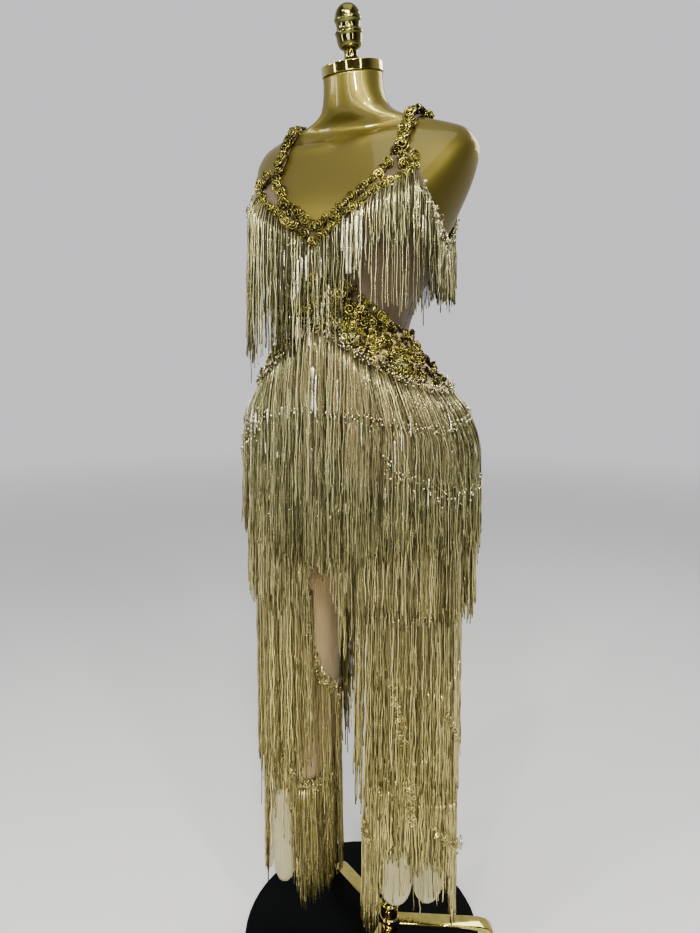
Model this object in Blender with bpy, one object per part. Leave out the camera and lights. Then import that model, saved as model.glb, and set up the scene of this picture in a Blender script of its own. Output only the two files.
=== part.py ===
"""A fringed stage jumpsuit on a limbless dress form with a pole, a tripod and a round base.

Metres, +Z up. The front faces -Y and the wearer's left is +X. The origin is the centre of the base
plate's underside. Every layer of cloth, trim and fringe shares one set of levels and turns, so each
layer is the one beneath it moved outward, and facets never cross.
"""

import math
from bisect import bisect_right
from collections import namedtuple
from functools import lru_cache

import bmesh
import bpy
import numpy as np
from mathutils import Matrix, Vector
from mathutils.bvhtree import BVHTree

# ---------------------------------------------------------------- driving dimensions
GAP = 0.0003            # between pieces that touch on the real object
EASE = 0.0030           # between the dress form and the cloth over it
CLOTH = 0.0015          # thickness of the mesh cloth
LAID = 0.0006           # between the cloth and what is sewn on it
CUP_LAID = 0.0030       # the same on the bust, whose facets turn sharply
ROSETTE = 0.0080        # how far a row of rosettes stands off the cloth
BAND = 0.0055           # how far the waist band stands off the cloth
FRINGE = 0.0015         # thickness of a hanging fringe
SWING = 0.035           # how far a body fringe stands off for each metre that it hangs
LEG_SWING = 0.014       # the same on the legs

WAIST = 1.110           # seam between bodice and trousers
FORK = 0.860            # the trousers start to part into legs here
CROTCH = 0.745
FORM_CROTCH = 0.766
THIGH_END = 0.700       # flat underside of the dress form
PETAL_TOP = 0.330       # the pleated hem petals are sewn on here
HEM = {"left": 0.195, "right": 0.150}     # lowest point of a petal
PETAL_ROUND = 0.045     # height of a petal's rounded end
PETALS = 7              # petals round one leg
PETAL_START = {"left": -22, "right": -36}   # leg turn where the front petal starts
STRAP_X = 0.0985        # the straps cross the shoulders this far from the middle
STRAP_WIDTH = 0.021
STRAP_END = 1.3475      # both ends of a strap, just over the bodice

BASE_RADIUS = 0.220
BASE_THICK = 0.006
POLE = Vector((0.060, -0.004, 0))   # the pole stands inside the left trouser leg
POLE_RADIUS = 0.0125
HUB_RADIUS = 0.0160
HUB_TOP = 0.092
ARM_REACH = 0.196
ARM_WIDTH = 0.026
ARM_THICK = 0.009
ARM_TOP = 0.054         # top face of an arm at the hub
ARM_DROP = 0.014        # how much lower the arm is where it bends down
ARM_TURNS = (30, 150, 270)

QUARTER = 10            # columns in a quarter turn of the body, and in half a turn of a leg
LEVELS = [0.130, 0.230, 0.330, 0.450, 0.560, 0.650, 0.700] + [CROTCH + 0.0365 * k for k in range(18)]
SIGN = {"left": 1, "right": -1}

# ---------------------------------------------------------------- the figure and the legs
Section = namedtuple("Section", "level half_width front back square tilt")
# front and back are the y of the surface; square is 2 on an ellipse; tilt leans the ring forward.
FORM = [
    Section(0.745, 0.171, -0.134, 0.090, 2.1, 0),
    Section(0.800, 0.176, -0.138, 0.099, 2.2, 0),
    Section(0.850, 0.181, -0.142, 0.106, 2.2, 0),
    Section(0.900, 0.187, -0.144, 0.109, 2.2, 0),
    Section(0.950, 0.186, -0.146, 0.104, 2.2, 0),
    Section(1.000, 0.168, -0.147, 0.086, 2.2, 0),
    Section(1.050, 0.132, -0.146, 0.050, 2.2, 0),
    Section(1.105, 0.097, -0.143, 0.016, 2.2, 0),
    Section(1.170, 0.112, -0.142, 0.032, 2.2, 0),
    Section(1.230, 0.139, -0.143, 0.058, 2.3, 0),
    Section(1.285, 0.160, -0.130, 0.076, 2.4, 0),
    Section(1.335, 0.179, -0.101, 0.078, 2.5, 0),
    Section(1.370, 0.186, -0.082, 0.069, 2.5, 0),
    Section(1.394, 0.178, -0.066, 0.060, 2.4, 0),
    Section(1.409, 0.156, -0.054, 0.050, 2.3, 0),
    Section(1.419, 0.112, -0.058, 0.038, 2.2, 2),
    Section(1.430, 0.068, -0.069, 0.024, 2.1, 5),
    Section(1.450, 0.049, -0.077, 0.013, 2.0, 8),
    Section(1.486, 0.0448, -0.081, 0.006, 2.0, 13),
]
NECK_LEVELS = [1.380, 1.394, 1.402, 1.410, 1.418, 1.426, 1.436, 1.450, 1.468, 1.486]
SHOULDER_TILT = 0.030    # rise of the right shoulder over the left, for each metre across
SHOULDER_LEVELS = (1.366, 1.392, 1.415, 1.440)

# The bust is two soft cups on the front.
CUP_TURN = 36
CUP_SPREAD = 24
CUP_LEVEL = 1.275
CUP_HEIGHT = 0.050
CUP_DEPTH = 0.022

Leg = namedtuple("Leg", "level centre_x centre_y half_width half_depth")
# The left leg has the pole inside it and stands fuller; the right one hangs flatter.
LEGS = {
    "left": [
        Leg(0.130, 0.1080, -0.030, 0.0710, 0.082),
        Leg(0.330, 0.1080, -0.030, 0.0690, 0.080),
        Leg(0.500, 0.1075, -0.030, 0.0680, 0.080),
        Leg(0.640, 0.1050, -0.028, 0.0690, 0.084),
        Leg(0.745, 0.0890, -0.024, 0.0850, 0.099),
    ],
    "right": [
        Leg(0.130, 0.1085, -0.030, 0.0500, 0.083),
        Leg(0.330, 0.1085, -0.030, 0.0480, 0.081),
        Leg(0.500, 0.1040, -0.030, 0.0560, 0.083),
        Leg(0.640, 0.1000, -0.028, 0.0670, 0.089),
        Leg(0.745, 0.0890, -0.024, 0.0850, 0.099),
    ],
}
THIGH_EASE = 0.0050     # the form's thighs are this much smaller than the trouser legs

# ---------------------------------------------------------------- edges of cloth, trim and fringe
Edge = namedtuple("Edge", "turn neckline outer_row band_top band_bottom hip_top bust_end hip_end")
# One row for each 9 degrees from the centre front; the levels of every edge there.
FRONT = [
    Edge(0, 1.257, 1.235, 1.192, 1.120, 1.114, 1.090, 0.760),
    Edge(9, 1.278, 1.257, 1.189, 1.114, 1.108, 1.090, 0.762),
    Edge(18, 1.301, 1.274, 1.182, 1.103, 1.097, 1.092, 0.766),
    Edge(27, 1.345, 1.296, 1.170, 1.090, 1.084, 1.096, 0.772),
    Edge(36, 1.345, 1.322, 1.158, 1.075, 1.069, 1.104, 0.778),
    Edge(45, 1.322, 1.322, 1.149, 1.062, 1.056, 1.116, 0.784),
    Edge(54, 1.302, 1.302, 1.141, 1.051, 1.045, 1.132, 0.788),
    Edge(63, 1.285, 1.285, 1.131, 1.043, 1.037, 1.148, 0.790),
    Edge(72, 1.269, 1.269, 1.122, 1.037, 1.031, 1.160, 0.790),
    Edge(81, 1.257, 1.257, 1.117, 1.033, 1.027, 1.166, 0.790),
    Edge(90, 1.248, 1.248, 1.115, 1.030, 1.024, 1.168, 0.790),
]
# The same from the centre back, where one row of rosettes and a narrow band finish it plainly.
BACK = [
    Edge(0, 1.268, 1.268, 1.112, 1.068, 1.062, 1.172, 0.780),
    Edge(9, 1.280, 1.280, 1.112, 1.066, 1.060, 1.172, 0.780),
    Edge(18, 1.302, 1.302, 1.112, 1.062, 1.056, 1.172, 0.782),
    Edge(27, 1.345, 1.345, 1.112, 1.057, 1.051, 1.172, 0.784),
    Edge(36, 1.345, 1.345, 1.113, 1.052, 1.046, 1.172, 0.786),
    Edge(45, 1.314, 1.314, 1.113, 1.047, 1.041, 1.170, 0.788),
    Edge(54, 1.282, 1.282, 1.113, 1.042, 1.036, 1.168, 0.790),
    Edge(63, 1.260, 1.260, 1.114, 1.038, 1.032, 1.168, 0.790),
    Edge(72, 1.248, 1.248, 1.114, 1.035, 1.029, 1.168, 0.790),
    Edge(81, 1.244, 1.244, 1.115, 1.032, 1.026, 1.168, 0.790),
    Edge(90, 1.248, 1.248, 1.115, 1.030, 1.024, 1.168, 0.790),
]
ROW_DROP = 0.0070       # centre of a row of rosettes under the cloth's edge
ROW_HALF = 0.0060       # half its height
HEADER_DROP = 0.0100    # a fringe starts this far under the middle of the row over it
HIP_LOWER_TOP = 0.905
HIP_LOWER_END = 0.690
CENTRE_TOP = 0.868
CENTRE_END = 0.612
LEG_UPPER_TOP = 0.676
LEG_UPPER_END = 0.440
LEG_LOWER_TOP = 0.472
LEG_LOWER_END = 0.118
PARTED_END = 0.310      # the lower leg fringe ends here over the front petals

# ---------------------------------------------------------------- colours and finishes
Finish = namedtuple("Finish", "colour roughness metallic")
FINISHES = {
    "gold_gloss": Finish((0.33, 0.27, 0.06), 0.22, 0.60),
    "gold_metal": Finish((0.72, 0.55, 0.22), 0.18, 1.00),
    "black_plate": Finish((0.012, 0.013, 0.015), 0.55, 0.0),
    "nude_mesh": Finish((0.52, 0.40, 0.27), 0.75, 0.0),
    "pleated_cream": Finish((0.72, 0.66, 0.50), 0.70, 0.0),
    "gold_rosettes": Finish((0.62, 0.48, 0.13), 0.28, 0.85),
    "sequin_trim": Finish((0.66, 0.60, 0.38), 0.25, 0.85),
    "fringe_gold": Finish((0.55, 0.48, 0.26), 0.40, 0.50),
}


def material_named(name):
    """The material of this name, made on its first use."""
    found = bpy.data.materials.get(name)
    if found:
        return found
    finish = FINISHES[name]
    found = bpy.data.materials.new(name)
    found.use_nodes = True
    shader = found.node_tree.nodes["Principled BSDF"]
    shader.inputs["Base Color"].default_value = (*finish.colour, 1)
    shader.inputs["Roughness"].default_value = finish.roughness
    shader.inputs["Metallic"].default_value = finish.metallic
    return found


def object_from(mesh, name, finish, sharp=35):
    """A smooth-shaded object that owns this bmesh."""
    bmesh.ops.remove_doubles(mesh, verts=mesh.verts, dist=2e-5)
    bmesh.ops.dissolve_degenerate(mesh, edges=mesh.edges, dist=1e-6)
    bmesh.ops.recalc_face_normals(mesh, faces=mesh.faces)
    data = bpy.data.meshes.new(name)
    mesh.to_mesh(data)
    mesh.free()
    data.shade_smooth()
    data.set_sharp_from_angle(angle=math.radians(sharp))
    data.materials.append(material_named(finish))
    made = bpy.data.objects.new(name, data)
    bpy.context.scene.collection.objects.link(made)
    return made


def smooth_row(table, level):
    """A row of the table at this level, on a smooth curve through its rows."""
    levels = [row[0] for row in table]
    values = np.array([row[1:] for row in table], float)
    slopes = np.gradient(values, levels, axis=0)
    level = min(max(level, levels[0]), levels[-1])
    i = min(max(bisect_right(levels, level) - 1, 0), len(levels) - 2)
    step = levels[i + 1] - levels[i]
    t = (level - levels[i]) / step
    found = (
        values[i] * (2 * t**3 - 3 * t**2 + 1)
        + values[i + 1] * (3 * t**2 - 2 * t**3)
        + slopes[i] * step * (t**3 - 2 * t**2 + t)
        + slopes[i + 1] * step * (t**3 - t**2)
    )
    return type(table[0])(level, *found)


def body_ring(level, turn):
    """A point of the figure. turn is 0 at the centre front and 90 at the wearer's left side."""
    ring = smooth_row(FORM, level)
    middle = (ring.front + ring.back) / 2
    depth = (ring.back - ring.front) / 2
    power = 2 / ring.square
    across = math.sin(math.radians(turn))
    along = math.cos(math.radians(turn))
    x = ring.half_width * math.copysign(abs(across) ** power, across)
    y = middle - depth * math.copysign(abs(along) ** power, along)
    rise = math.exp(-(((level - CUP_LEVEL) / CUP_HEIGHT) ** 2))
    for cup in (-CUP_TURN, CUP_TURN):
        away = (turn - cup + 180) % 360 - 180
        y -= CUP_DEPTH * rise * math.exp(-((away / CUP_SPREAD) ** 2))
    raised = float(np.interp(level, SHOULDER_LEVELS, (0, 1, 1, 0))) * SHOULDER_TILT * x
    return Vector((x, y, level - raised + (y - middle) * math.tan(math.radians(ring.tilt))))


def leg_ring(side, level, turn, ease=0.0):
    """A point of a leg's tube. turn is 0 at its front, 90 at the outside and -90 at the inseam."""
    ring = smooth_row(LEGS[side], level)
    across = (ring.half_width - ease) * math.sin(math.radians(turn))
    along = (ring.half_depth - ease) * math.cos(math.radians(turn))
    return Vector((SIGN[side] * (ring.centre_x + across), ring.centre_y - along, level))


def outward(point, turn):
    """The level outward direction of a ring, from how it runs at this turn."""
    step = 0.5
    run = point(turn + step) - point(turn - step)
    normal = Vector((run.y, -run.x, 0)).normalized()
    return normal if normal.dot(point(turn) - point(turn + 180)) > 0 else -normal


@lru_cache(maxsize=None)
def body_frame(level, turn):
    """The figure's point and outward direction at a level and turn."""
    return body_ring(level, turn), outward(lambda at: body_ring(level, at), turn)


@lru_cache(maxsize=None)
def leg_frame(side, level, turn):
    """A trouser leg's point and outward direction."""
    return leg_ring(side, level, turn), outward(lambda at: leg_ring(side, level, at), turn)


def on_facets(frame, level):
    """frame() between the two LEVELS round this level, on the flat facet that joins them."""
    i = min(max(bisect_right(LEVELS, level) - 1, 0), len(LEVELS) - 2)
    share = (level - LEVELS[i]) / (LEVELS[i + 1] - LEVELS[i])
    low, low_out = frame(LEVELS[i])
    high, high_out = frame(LEVELS[i + 1])
    return low.lerp(high, share), low_out.lerp(high_out, share).normalized()


def body_facet(level, turn):
    return on_facets(lambda at: body_frame(at, turn), level)


def leg_facet(side, level, turn):
    return on_facets(lambda at: leg_frame(side, at, turn), level)


def at_turn(column, turn):
    """The level of an edge column of FRONT or BACK at this turn, which counts from the centre front."""
    turn = abs((turn + 180) % 360 - 180)
    table, turn = (FRONT, turn) if turn <= 90 else (BACK, 180 - turn)
    return float(np.interp(turn, [row.turn for row in table], [getattr(row, column) for row in table]))


# ---------------------------------------------------------------- walls
def wall(name, grid, finish):
    """A closed solid from rows of (inner, outer) points. All layers split their quads the same way."""
    mesh = bmesh.new()
    inner = [[mesh.verts.new(pair[0]) for pair in row] for row in grid]
    outer = [[mesh.verts.new(pair[1]) for pair in row] for row in grid]
    rows, columns = len(grid), len(grid[0])
    for r in range(rows - 1):
        for c in range(columns - 1):
            for skin in (inner, outer):
                mesh.faces.new((skin[r][c], skin[r][c + 1], skin[r + 1][c + 1]))
                mesh.faces.new((skin[r][c], skin[r + 1][c + 1], skin[r + 1][c]))
    for r in (0, rows - 1):
        for c in range(columns - 1):
            mesh.faces.new((inner[r][c], inner[r][c + 1], outer[r][c + 1], outer[r][c]))
    for c in (0, columns - 1):
        for r in range(rows - 1):
            mesh.faces.new((inner[r][c], inner[r + 1][c], outer[r + 1][c], outer[r][c]))
    return object_from(mesh, name, finish)


def rows_between(bottoms, tops, lowest_level=0.0):
    """Rows of levels for columns with these ends: every one of LEVELS between, held to each column."""
    inside = [at for at in LEVELS if min(bottoms) < at < max(tops) and at > lowest_level]
    picks = [bottoms] + [[at] * len(tops) for at in inside] + [tops]
    return [[min(max(at, low), high) for at, low, high in zip(row, bottoms, tops)] for row in picks]


def turns_between(first, last, step):
    return [first + step * k for k in range(round((last - first) / step) + 1)]


def layer(name, first, last, top, bottom, low, high, finish, gaps=(GAP / 2, GAP / 2)):
    """A piece of the body's cloth or trim, from low to high off the figure, between two turns."""
    turns = turns_between(first, last, 90 / QUARTER)
    levels = rows_between([bottom(turn) for turn in turns], [top(turn) for turn in turns])
    grid = []
    for row in levels:
        pairs = []
        for k, (turn, level) in enumerate(zip(turns, row)):
            point, out = body_facet(level, turn)
            along = Vector((-out.y, out.x, 0))
            nudge = gaps[0] * (k == 0) - gaps[1] * (k == len(turns) - 1)
            point = point + along * nudge
            pairs.append((point + out * low, point + out * high))
        grid.append(pairs)
    return wall(name, grid, finish)


def hanging(facet, start, drop_to, bulk):
    """Where a strand from level start is at level drop_to: it hangs clear of the widest part it passes."""
    levels = [start] + [at for at in reversed(LEVELS) if drop_to <= at < start]
    centre = (facet(start)[0] - facet(start)[1] * 0.1).to_2d()
    best, best_out = facet(start)
    reach = (best.to_2d() - centre).length
    for at in levels:
        point, out = facet(at)
        point = point + out * bulk(at)
        if (point.to_2d() - centre).length > reach:
            reach = (point.to_2d() - centre).length
            best, best_out = point, out
    return Vector((best.x, best.y, drop_to)), best_out


def no_bulk(_level):
    return 0.0


def band_bulk(turn):
    """What the waist band adds under a fringe that hangs over it."""
    top = at_turn("band_top", turn) + 0.012
    bottom = at_turn("band_bottom", turn)
    return lambda level: BAND + LAID if bottom < level < top else 0.0


def fringe(name, facet, turns, top, bottom, seat, swing, bulk=None, free_below=0.0):
    """A hanging fringe as a wall of its reach, from its header down to the ends of its strands.

    seat is how far off the facets its header lies, and swing what it adds for each metre that it hangs.
    """
    bottoms = [bottom(turn) for turn in turns]
    tops = [top(turn) for turn in turns]
    grid = []
    for row in rows_between(bottoms, tops, free_below):
        pairs = []
        for k, (turn, level, start) in enumerate(zip(turns, row, tops)):
            under = bulk(turn) if bulk else no_bulk
            point, out = hanging(lambda at, turn=turn: facet(at, turn), start, level, under)
            along = Vector((-out.y, out.x, 0))
            nudge = GAP / 2 * ((k == 0) - (k == len(turns) - 1))
            off = seat + swing * (start - level)
            point = point + along * nudge
            pairs.append((point + out * off, point + out * (off + FRINGE)))
        grid.append(pairs)
    return wall(name, grid, "fringe_gold")


# ---------------------------------------------------------------- dress form and stand
def parted(level, crotch, fork):
    """How far the legs have parted at this level: 0 over the fork, 1 at the crotch and under it."""
    t = min(max((fork - level) / (fork - crotch), 0.0), 1.0)
    return t * t * (3 - 2 * t)


def trouser_point(side, back, level, share, crotch, fork, ease, leg_ease):
    """A point of one half of the hips and its leg. share is 0 at the middle and 1 at the side."""
    sign = SIGN[side]
    body_turn = sign * (180 - 90 * share if back else 90 * share)
    leg_turn = 270 - 180 * share if back else 180 * share - 90
    point, out = body_frame(level, body_turn) if level >= crotch else body_frame(crotch, body_turn)
    body = point + out * ease
    leg = leg_ring(side, level, leg_turn, leg_ease)
    t = parted(level, crotch, fork)
    found = body.lerp(leg, t)
    return Vector((found.x, found.y, level if level < FORM[-1].level * 0.9 else point.z))


def dress_form():
    """The whole limbless figure in one skin: neck, shoulders, bust, hips and two short thighs."""
    mesh = bmesh.new()
    thigh = [(THIGH_END, 0.022), (THIGH_END + 0.005, 0.011), (THIGH_END + 0.016, THIGH_EASE)]
    levels = thigh + [(0.740, THIGH_EASE), (FORM_CROTCH, THIGH_EASE)]
    levels += [(at, THIGH_EASE) for at in LEVELS + NECK_LEVELS if at > FORM_CROTCH]
    shares = [k / QUARTER for k in range(QUARTER + 1)]
    for side in ("left", "right"):
        rings = []
        for level, ease in levels:
            ring = []
            for back in (False, True):
                order = reversed(shares[:-1]) if back else shares
                for share in order:
                    at = (side, back, level, share, FORM_CROTCH, FORK + 0.020, 0.0, ease)
                    point = trouser_point(*at)
                    if share == 0 and level >= FORM_CROTCH:
                        point.x = 0
                    ring.append(mesh.verts.new(point))
            rings.append(ring)
        for under, over in zip(rings, rings[1:]):
            for k in range(len(under) - 1):
                mesh.faces.new((under[k], under[k + 1], over[k + 1]))
                mesh.faces.new((under[k], over[k + 1], over[k]))
        mesh.faces.new(rings[0])
        mesh.faces.new(rings[-1])
    return object_from(mesh, "dress_form", "gold_gloss", sharp=60)


def turned(name, profile, finish, segments=20):
    """A body turned about Z from (radius, height) points that start and end on the axis."""
    mesh = bmesh.new()
    rings = []
    for radius, height in profile:
        angles = [2 * math.pi * k / segments for k in range(segments)]
        rings.append([mesh.verts.new((radius * math.cos(a), radius * math.sin(a), height)) for a in angles])
    for under, over in zip(rings, rings[1:]):
        for k in range(segments):
            after = (k + 1) % segments
            mesh.faces.new((under[k], under[after], over[after], over[k]))
    mesh.faces.new(rings[0])
    mesh.faces.new(rings[-1])
    return object_from(mesh, name, finish)


def base_plate():
    bevel = 0.0015
    profile = [
        (BASE_RADIUS - bevel, 0),
        (BASE_RADIUS, bevel),
        (BASE_RADIUS, BASE_THICK - bevel),
        (BASE_RADIUS - bevel, BASE_THICK),
    ]
    return turned("base_plate", profile, "black_plate", segments=56)


def pole_and_hub():
    """The pole stands on the hub, whose two beads grip it and the three arms."""
    hub = [(HUB_RADIUS, 0.024)]
    for bead in (ARM_TOP + 0.004, HUB_TOP - 0.006):
        for across, height in ((0, -0.004), (0.0016, -0.002), (0.0016, 0.002), (0, 0.004)):
            hub.append((HUB_RADIUS + across, bead + height))
    hub.append((HUB_RADIUS, HUB_TOP))
    turned("stand_hub", hub, "gold_metal").location = POLE
    flange = 0.022
    foot = HUB_TOP + GAP
    top = THIGH_END - GAP
    pole = [
        (POLE_RADIUS, foot),
        (POLE_RADIUS, top - 0.009),
        (flange, top - 0.006),
        (flange, top),
    ]
    turned("pole", pole, "gold_metal").location = POLE


def tripod_arms():
    """Three flat bars that slope from the hub, bend down and end in a foot on the base plate."""
    start = HUB_RADIUS + GAP
    bend = ARM_REACH - 0.030
    foot = BASE_THICK + GAP
    knee = ARM_TOP - ARM_DROP
    top = [(start, ARM_TOP), (bend, knee), (bend + 0.016, knee - 0.005), (bend + 0.026, knee - 0.014)]
    end = [(ARM_REACH, foot + 0.006), (ARM_REACH, foot), (ARM_REACH - 0.014, foot)]
    under = [(bend + 0.014, knee - 0.018), (bend + 0.006, knee - ARM_THICK - 0.002)]
    under += [(bend - 0.004, knee - ARM_THICK), (start, ARM_TOP - ARM_THICK)]
    for number, turn in enumerate(ARM_TURNS, 1):
        mesh = bmesh.new()
        sides = []
        for across in (-ARM_WIDTH / 2, ARM_WIDTH / 2):
            sides.append([mesh.verts.new((r, across, z)) for r, z in top + end + under])
        count = len(sides[0])
        for k in range(count):
            after = (k + 1) % count
            mesh.faces.new((sides[0][k], sides[0][after], sides[1][after], sides[1][k]))
        for outline in sides:
            mesh.faces.new(outline)
        arm = object_from(mesh, f"stand_arm_{number}", "gold_metal")
        arm.location = POLE
        arm.rotation_euler.z = math.radians(turn)


def neck_cap_and_finial():
    """A polished cap on the neck and a turned finial on it, both leaning forward with the neck."""
    neck = FORM[-1]
    centre = Vector((0, (neck.front + neck.back) / 2, neck.level))
    lean = Matrix.Rotation(math.radians(neck.tilt), 4, "X")
    radius = neck.half_width + 0.0012
    height = 0.0135
    cap = [(radius, GAP), (radius, height - 0.001), (radius - 0.001, height)]
    finial = [(0.0137, 0), (0.0137, 0.006), (0.0115, 0.009), (0.0100, 0.012), (0.0100, 0.018)]
    finial += [(0.0150, 0.021), (0.0185, 0.030), (0.0198, 0.0385), (0.0208, 0.041), (0.0190, 0.0445)]
    finial += [(0.0180, 0.048), (0.0186, 0.054), (0.0203, 0.0575), (0.0188, 0.062), (0.0165, 0.069)]
    finial += [(0.0105, 0.0755), (0.0030, 0.078)]
    turned("neck_cap", cap, "gold_metal", segments=40).matrix_world = Matrix.Translation(centre) @ lean
    rise = lean @ Vector((0, 0, height + GAP))
    turned("finial", finial, "gold_metal").matrix_world = Matrix.Translation(centre + rise) @ lean


# ---------------------------------------------------------------- bodice and straps
def bodice():
    """Front and back of the mesh bodice, from the waist seam to the neckline and armholes."""
    neckline = lambda turn: at_turn("neckline", turn)
    waist = lambda _turn: WAIST + GAP
    for name, first in (("bodice_front", -90), ("bodice_back", 90)):
        layer(name, first, first + 180, neckline, waist, EASE, EASE + CLOTH, "nude_mesh")


def over_shoulder(skin, side, half_width, low, high):
    """Rows of points across a strap, cast from inside the shoulder out to the form's skin."""
    steps = 22
    grid = []
    for k in range(steps + 1):
        row = []
        for across in (-half_width, 0, half_width):
            x = SIGN[side] * (STRAP_X + across)
            heart = Vector((x, -0.010, STRAP_END))
            angle = math.pi * k / steps
            way = Vector((0, -math.cos(angle), math.sin(angle)))
            hit, normal, _, _ = skin.ray_cast(heart, way)
            out = normal if 0 < k < steps else Vector((normal.x, normal.y, 0)).normalized()
            row.append((hit + out * low, hit + out * high))
        grid.append(row)
    return grid


def straps(form):
    """Mesh straps over the shoulders, each with its row of rosettes."""
    skin = BVHTree.FromObject(form, bpy.context.evaluated_depsgraph_get())
    seat = 0.0014
    for side in SIGN:
        cloth = over_shoulder(skin, side, STRAP_WIDTH / 2, seat, seat + CLOTH)
        wall(f"strap_{side}", cloth, "nude_mesh")
        low = seat + CLOTH + LAID
        rosettes = over_shoulder(skin, side, 0.0075, low, low + ROSETTE)
        wall(f"strap_rosettes_{side}", rosettes, "gold_rosettes")


def rosette_rows():
    """Rows of rosettes and sequin trim on the neckline, under it and round the armholes."""
    low = EASE + CLOTH + CUP_LAID
    rosette = (low, low + ROSETTE, "gold_rosettes")
    inner = lambda turn: at_turn("neckline", turn) - ROW_DROP
    outer = lambda turn: at_turn("outer_row", turn)
    rows = [
        ("neck_rosettes_{}", 0, 27, inner, rosette),
        ("outer_rosettes_{}", 0, 36, outer, rosette),
        ("armhole_trim_{}", 54, 126, inner, (low, low + 0.005, "sequin_trim")),
    ]
    for side, sign in SIGN.items():
        for name, first, last, middle, (near, far, finish) in rows:
            ends = sorted((sign * first, sign * last))
            top = lambda turn, middle=middle: middle(turn) + ROW_HALF
            bottom = lambda turn, middle=middle: middle(turn) - ROW_HALF
            layer(name.format(side), *ends, top, bottom, near, far, finish)
    top = lambda turn: inner(turn) + ROW_HALF
    bottom = lambda turn: inner(turn) - ROW_HALF
    layer("back_rosettes", 153, 207, top, bottom, *rosette)


def waist_bands():
    """Bands of rosettes: two slant from the middle of the waist to the sides, one closes the back."""
    low = EASE + CLOTH + LAID
    top = lambda turn: at_turn("band_top", turn)
    bottom = lambda turn: at_turn("band_bottom", turn)
    pieces = (("waist_band_left", 0, 90), ("waist_band_right", -90, 0), ("waist_band_back", 90, 270))
    for name, first, last in pieces:
        layer(name, first, last, top, bottom, low, low + BAND, "gold_rosettes")


# ---------------------------------------------------------------- trousers
def trouser_panels():
    """Four panels that meet at the middle, the sides and the inseams, down to the petals."""
    levels = [at for at in LEVELS if PETAL_TOP <= at <= WAIST]
    for side, sign in SIGN.items():
        for back in (False, True):
            grid = []
            for level in levels:
                places = []
                for k in range(-1, QUARTER + 2):
                    at = (side, back, level, k / QUARTER, CROTCH, FORK, EASE, 0.0)
                    places.append(trouser_point(*at))
                pairs = []
                for k in range(1, QUARTER + 2):
                    run = places[k + 1] - places[k - 1]
                    out = Vector((run.y, -run.x, 0)).normalized() * (-sign if back else sign)
                    point = places[k].copy()
                    if k in (1, QUARTER + 1):
                        point.y += GAP / 2 if back else -GAP / 2
                    if k == 1:
                        point.x += sign * GAP / 2
                    pairs.append((point, point + out * CLOTH))
                grid.append(pairs)
            wall(f"trouser_{'back' if back else 'front'}_{side}", grid, "nude_mesh")


def hem_petals():
    """Pleated petals with round ends, side by side round the bottom of each leg."""
    columns = 4
    width = 360 / PETALS
    for side in SIGN:
        for number in range(PETALS):
            turns = [PETAL_START[side] + width * (number + k / columns) for k in range(columns + 1)]
            ends = [math.sqrt(1 - min(abs(2 * k / columns - 1), 0.98) ** 2) for k in range(columns + 1)]
            grid = []
            for share in (0, 1):
                pairs = []
                for k, (turn, end) in enumerate(zip(turns, ends)):
                    bottom = HEM[side] + PETAL_ROUND * (1 - end)
                    level = bottom + (PETAL_TOP - GAP - bottom) * share
                    point = leg_ring(side, level, turn)
                    out = leg_frame(side, level, turn)[1]
                    along = Vector((-out.y, out.x, 0)) * SIGN[side]
                    point = point + along * GAP * ((k == 0) - (k == columns))
                    pairs.append((point, point + out * CLOTH))
                grid.append(pairs)
            wall(f"petal_{side}_{number + 1}", grid, "pleated_cream")


# ---------------------------------------------------------------- fringe
def body_fringes():
    """Fringe on the bust, two tiers round the hips and a short one over the crotch.

    The bust fringe is shorter over the left half of the waist band, which it leaves bare.
    """
    quarters = {"front_left": 0, "front_right": -90, "back_left": 90, "back_right": 180}

    def bust_top(turn):
        away = abs((turn + 180) % 360 - 180)
        if away <= 36:
            return at_turn("outer_row", turn) - HEADER_DROP
        return at_turn("neckline", turn) - ROW_DROP - ROW_HALF - 0.001

    def bust_bottom(turn):
        bared = np.interp(turn, (9, 27, 54, 81), (0, 0.075, 0.020, 0))
        return at_turn("bust_end", turn) + float(bared)

    seat = EASE + CLOTH + LAID
    hip_top = lambda turn: at_turn("hip_top", turn)
    hip_bottom = lambda turn: at_turn("hip_end", turn)
    lower = (lambda _turn: HIP_LOWER_TOP, lambda _turn: HIP_LOWER_END)
    tiers = {
        "bust_fringe": (bust_top, bust_bottom, EASE + CLOTH + CUP_LAID, SWING, band_bulk, 0.0),
        "hip_fringe_upper": (hip_top, hip_bottom, seat, SWING, None, 0.90),
        "hip_fringe_lower": (*lower, seat, LEG_SWING, None, 0.87),
    }
    for tier, (top, bottom, *stance) in tiers.items():
        for name, first in quarters.items():
            turns = turns_between(first, first + 90, 90 / QUARTER)
            fringe(f"{tier}_{name}", body_facet, turns, top, bottom, *stance)
    turns = turns_between(-27, 27, 90 / QUARTER)
    ends = (lambda _turn: CENTRE_TOP, lambda turn: CENTRE_END + 0.002 * abs(turn))
    over_lower = seat + 2 * (FRINGE + LAID)
    fringe("centre_fringe", body_facet, turns, *ends, over_lower, LEG_SWING, free_below=0.80)


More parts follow.
